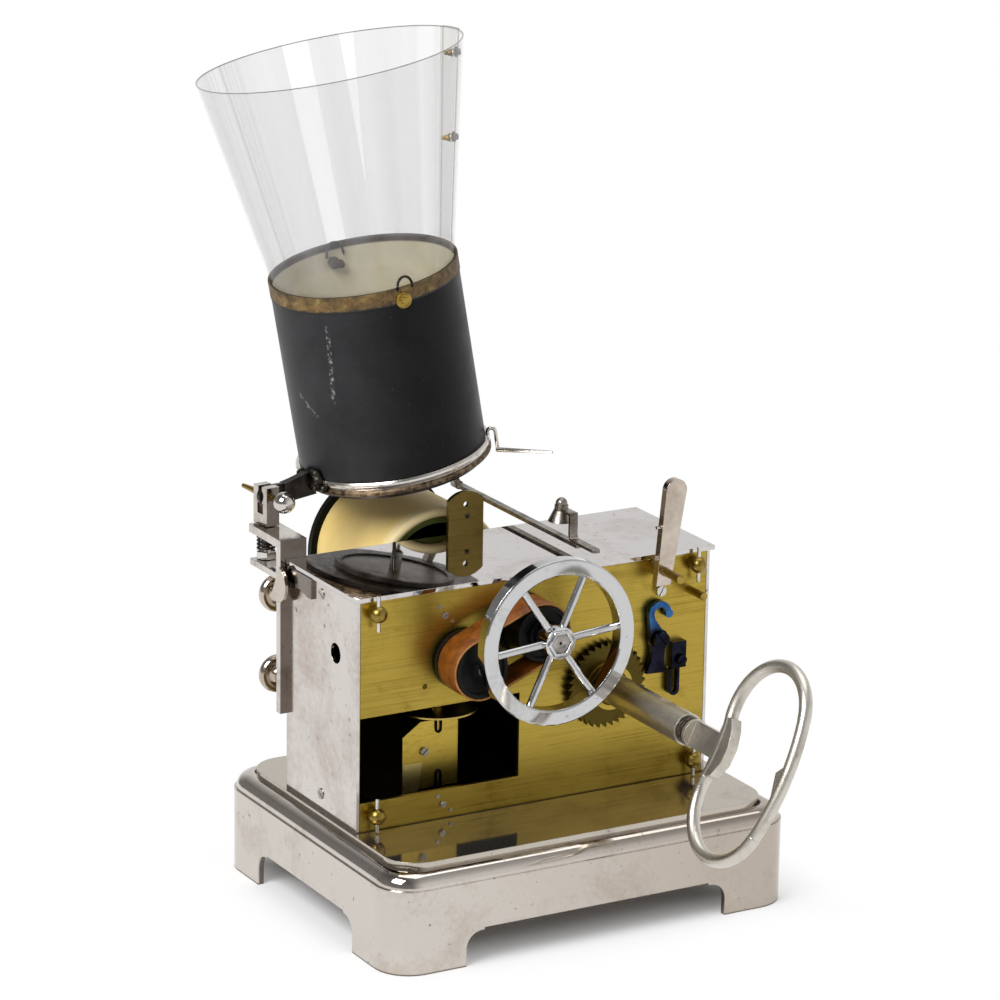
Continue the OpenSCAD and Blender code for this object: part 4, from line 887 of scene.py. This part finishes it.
def horn_ties():
    """Twisted wires, a stud cap and nuts that tie the clear sheet to the tube."""
    wire = 0.32 * MM
    wires = Shape()
    skin = TUBE_R + 0.6 * MM
    inner = SHEET_R - 1.2 * MM
    # Each tie: degrees round the horn, half its width in degrees, distance from the axis, foot and top
    for turn, wide, radius, foot, top in ((-92.4, 4.8, skin, TUBE_TOP - 1 * MM, TUBE_TOP + 4.2 * MM),
                                          (81.5, 5.8, inner, TUBE_TOP - 5.5 * MM, TUBE_TOP + 0.6 * MM)):
        bend = arch(on_horn(turn - wide, foot, radius), on_horn(turn + wide, foot, radius),
                    on_horn(turn, top, radius), 40)
        for strand in twisted(bend, wire, 6):
            wires.sweep(strand, wire, sides=6)
    wires.build("tie_wires", ("dark_steel",), "horn", "steel", ("tube_ties",))
    nuts = Shape()
    # Radius as a share of each nut's size, and height in mm
    nut = ((0.5, 0.0), (1.0, 0.1), (1.0, 2.6), (0.7, 3.0), (0.3, 3.1))
    for turn, rise, size in ((83.3, 121.4, 2.6), (79.0, 120.3, 1.75)):
        seat = facing(on_horn(turn, rise * MM, SHEET_R - 0.5 * MM), -from_horn(turn))
        nuts.lathe([(radius * size, height) for radius, height in nut], seat, steps=6)
    nuts.build("tie_nuts", ("dark_brass",), "horn", "brass")
    cap = Shape()
    cap_turn, cap_rise = -94.5, 124.0 * MM
    profile = ((3.2, 0.0), (3.4, 0.5), (3.2, 1.0), (2.7, 1.2), (2.3, 0.9), (1.5, 0.9), (1.3, 1.5),
               (0.4, 1.8))
    cap.lathe(profile, facing(on_horn(cap_turn, cap_rise, TUBE_R + 0.2 * MM), from_horn(cap_turn)))
    cap.build("tie_cap", ("stud_brass",), "horn", "brass")


def flare_nuts():
    """Pale washers and brass nuts on the inner ends of the two bolts in the seam."""
    slope = math.atan2(RIM_R - SHEET_R, RIM_RISE)
    turn = SEAM_TURN + 4.0
    below_rim = (10.4 * MM, 44.3 * MM)
    washer = ((0.8, 0.0), (1.7, 0.0), (1.85, 0.3), (1.7, 0.6), (0.8, 0.65))
    nut = ((0.7, 0.6), (1.35, 0.6), (1.4, 0.9), (1.3, 1.7), (0.95, 1.9), (0.9, 3.3), (0.6, 3.6),
           (0.2, 3.7))
    washers, nuts = Shape(), Shape()
    for fall in below_rim:
        radius = SHEET_R + (RIM_R - SHEET_R) * (1 - fall / RIM_RISE) - 0.62 * MM
        seat = facing(on_horn(turn, TUBE_TOP + RIM_RISE - fall, radius), -from_horn(turn, slope))
        washers.lathe(washer, seat, steps=24)
        nuts.lathe(nut, seat, steps=6)
    washers.build("flare_washers", ("bright_steel",), "horn", "steel")
    nuts.build("flare_nuts", ("stud_brass",), "horn", "brass")


def small_pins():
    """Pin on the top plate and rivet in the arched tab."""
    pin = Shape()
    profile = ((0.9, 0.0), (1.0, 0.3), (0.8, 0.6), (0.75, 5.2), (0.6, 5.8), (0.2, 6.0))
    pin_foot = Vector((-43.0 * MM, 17.0 * MM, high("top_plate").z))
    pin.lathe(profile, facing(pin_foot, (0, 0, 1)), steps=16)
    pin.build("top_pin", ("dark_steel",), "frame", "steel")
    rivet = Shape()
    tab_face = BACK_Y - 2.0 * MM
    profile = ((1.0, 0.0), (1.0, 0.15), (0.8, 0.4), (0.4, 0.55), (0.1, 0.6))
    rivet_foot = Vector((-1.9 * MM, tab_face, 146.5 * MM))
    rivet.lathe(profile, facing(rivet_foot, (0, -1, 0)), steps=16)
    rivet.build("tab_rivet", ("dark_steel",), "frame", "steel")


def hub_cap():
    """Six-sided rim, groove and countersunk end of the mandrel arbor in the hub of the flywheel."""
    hub = Vector((middle("flywheel").x, low("flywheel").y, middle("flywheel").z))
    seat = facing(hub + Vector((0, 0.05 * MM, 0)), (0, -1, 0))
    rim, end = Shape(), Shape()
    profile = ((4.1, 0.0), (6.0, 0.0), (5.9, 0.5), (5.3, 1.1), (4.6, 1.2), (4.2, 0.8), (4.1, 0.1))
    rim.lathe(profile, seat, steps=6)
    rim.build("hub_rim", ("wheel_nickel",), "mandrel", "nickel")
    profile = ((3.9, 0.0), (3.9, 0.4), (3.4, 0.8), (2.6, 0.9), (2.0, 0.6), (1.3, 0.15), (0.6, 0.1),
               (0.1, 0.1))
    end.lathe(profile, seat, steps=36)
    end.build("hub_end", ("steel",), "mandrel", "steel")


def solder():
    """Uneven lumps of solder where the arm meets the ring."""
    profile = ((0.1, -0.9), (0.55, -0.8), (0.9, -0.45), (1.0, 0.05), (0.8, 0.5), (0.45, 0.8), (0.1, 0.9))
    lumps = Shape()
    # Each lump: degrees round the horn, mm above the foot of the ring, and size in mm
    for turn, rise, size in ((176.0, 4.4, 2.6), (-168.0, 7.2, 2.4), (-167.0, 4.6, 2.8),
                             (-169.5, 2.2, 2.6), (-163.0, 1.3, 2.0)):
        seat = facing(on_horn(turn, TUBE_LOW + rise * MM, TUBE_R + 2.2 * MM), from_horn(turn))
        first = len(lumps.points)
        lumps.lathe([(radius * size, height * size) for radius, height in profile], seat, steps=20)
        for index in range(first, len(lumps.points)):
            swell = 1 + 0.14 * math.sin(index * 1.7) * math.cos(index * 0.6)
            lumps.points[index] = seat.translation + (lumps.points[index] - seat.translation) * swell
    lumps.build("solder", ("dark_steel",), "horn", "steel", (), 80.0)


def camera():
    """The photograph's camera."""
    forward = Vector((math.sin(CAMERA_YAW) * math.cos(CAMERA_PITCH),
                      math.cos(CAMERA_YAW) * math.cos(CAMERA_PITCH),
                      -math.sin(CAMERA_PITCH)))
    level = Vector((math.cos(CAMERA_YAW), -math.sin(CAMERA_YAW), 0.0))
    rise = level.cross(forward)
    right = math.cos(CAMERA_ROLL) * level + math.sin(CAMERA_ROLL) * rise
    up = math.cos(CAMERA_ROLL) * rise - math.sin(CAMERA_ROLL) * level
    data = bpy.data.cameras.new("camera")
    data.sensor_width = SENSOR
    data.lens = FOCAL_SHARE * SENSOR
    data.clip_end = 20.0
    obj = bpy.data.objects.new("camera", data)
    obj.matrix_world = Matrix((right, up, -forward)).transposed().to_4x4()
    obj.matrix_world.translation = CAMERA_PLACE
    bpy.context.scene.collection.objects.link(obj)
    bpy.context.scene.camera = obj


def soft_box(name, place, aim, size, power):
    """A square area lamp that faces a point."""
    data = bpy.data.lights.new(name, "AREA")
    data.size = size
    data.energy = power
    obj = bpy.data.objects.new(name, data)
    obj.location = place
    obj.rotation_euler = (Vector(aim) - Vector(place)).to_track_quat("-Z", "Y").to_euler()
    bpy.context.scene.collection.objects.link(obj)


def world():
    """Studio walls: pale to the right, dark to the left, greyer overhead."""
    walls = bpy.data.worlds.new("studio")
    bpy.context.scene.world = walls
    walls.use_nodes = True
    wiring = Wiring(walls.node_tree)
    way = wiring.add("TexCoord").outputs["Generated"]
    across = wiring.math("MULTIPLY_ADD", wiring.part(way, X), 0.5)
    across.node.inputs[2].default_value = 0.5
    side = wiring.ramp(across, (0.34, 0.24), (0.62, 0.88))
    height = wiring.ramp(wiring.part(way, Z), (0.0, 1.0), (0.35, 0.95), (0.75, 0.55), (1.0, 0.40))
    back = walls.node_tree.nodes["Background"]
    wiring.put(back.inputs["Color"], wiring.times(side, height))
    back.inputs["Strength"].default_value = 1.0


def floor():
    """Pale floor that is white round the object and keeps its shadow under the base."""
    reach = 6.0
    corners = [(-reach, -reach, 0), (reach, -reach, 0), (reach, reach, 0), (-reach, reach, 0)]
    mesh = bpy.data.meshes.new("floor")
    mesh.from_pydata(corners, [], [(0, 1, 2, 3)])
    obj = bpy.data.objects.new("floor", mesh)
    bpy.context.scene.collection.objects.link(obj)
    paint = Paint("floor_white", Roughness=0.6)
    here = paint.place()
    grey, pale = (0.93, 0.925, 0.935), (0.94, 0.935, 0.94)
    tint = paint.ramp(paint.noise(here, 2.0), (0.3, grey), (0.7, pale))
    paint.put(paint.shader.inputs["Base Color"], tint)
    shadow_end, white_start = -28 * MM, 32 * MM
    far = paint.step(paint.math("MAXIMUM", *beyond_base(paint, here)), shadow_end, white_start)
    rays = paint.add("LightPath")
    seen = paint.math("MAXIMUM", rays.outputs["Is Camera Ray"], rays.outputs["Is Transmission Ray"])
    seen = paint.math("MAXIMUM", seen, rays.outputs["Is Glossy Ray"])
    white = paint.add("Emission", (1.0, 1.0, 1.0), 1.0)
    share = paint.times(far, seen)
    blend = paint.add("MixShader", share, paint.shader.outputs[0], white.outputs[0])
    paint.put(paint.tree.nodes["Material Output"].inputs["Surface"], blend.outputs[0])
    mesh.materials.append(paint.material)


def studio():
    """Camera, walls, floor and two soft lamps."""
    bpy.context.scene.view_settings.view_transform = "Standard"
    camera()
    world()
    floor()
    soft_box("key_box", place=(-1.05, -0.35, 1.15), aim=(0, 0, 0.15), size=0.8, power=22.0)
    soft_box("top_box", place=(0.3, 0.2, 1.6), aim=(0, 0, 0.1), size=1.2, power=8.0)


dress_nodes()
belt()
spring()
thumb_screws()
vane_staples()
horn_ties()
flare_nuts()
small_pins()
hub_cap()
solder()
studio()
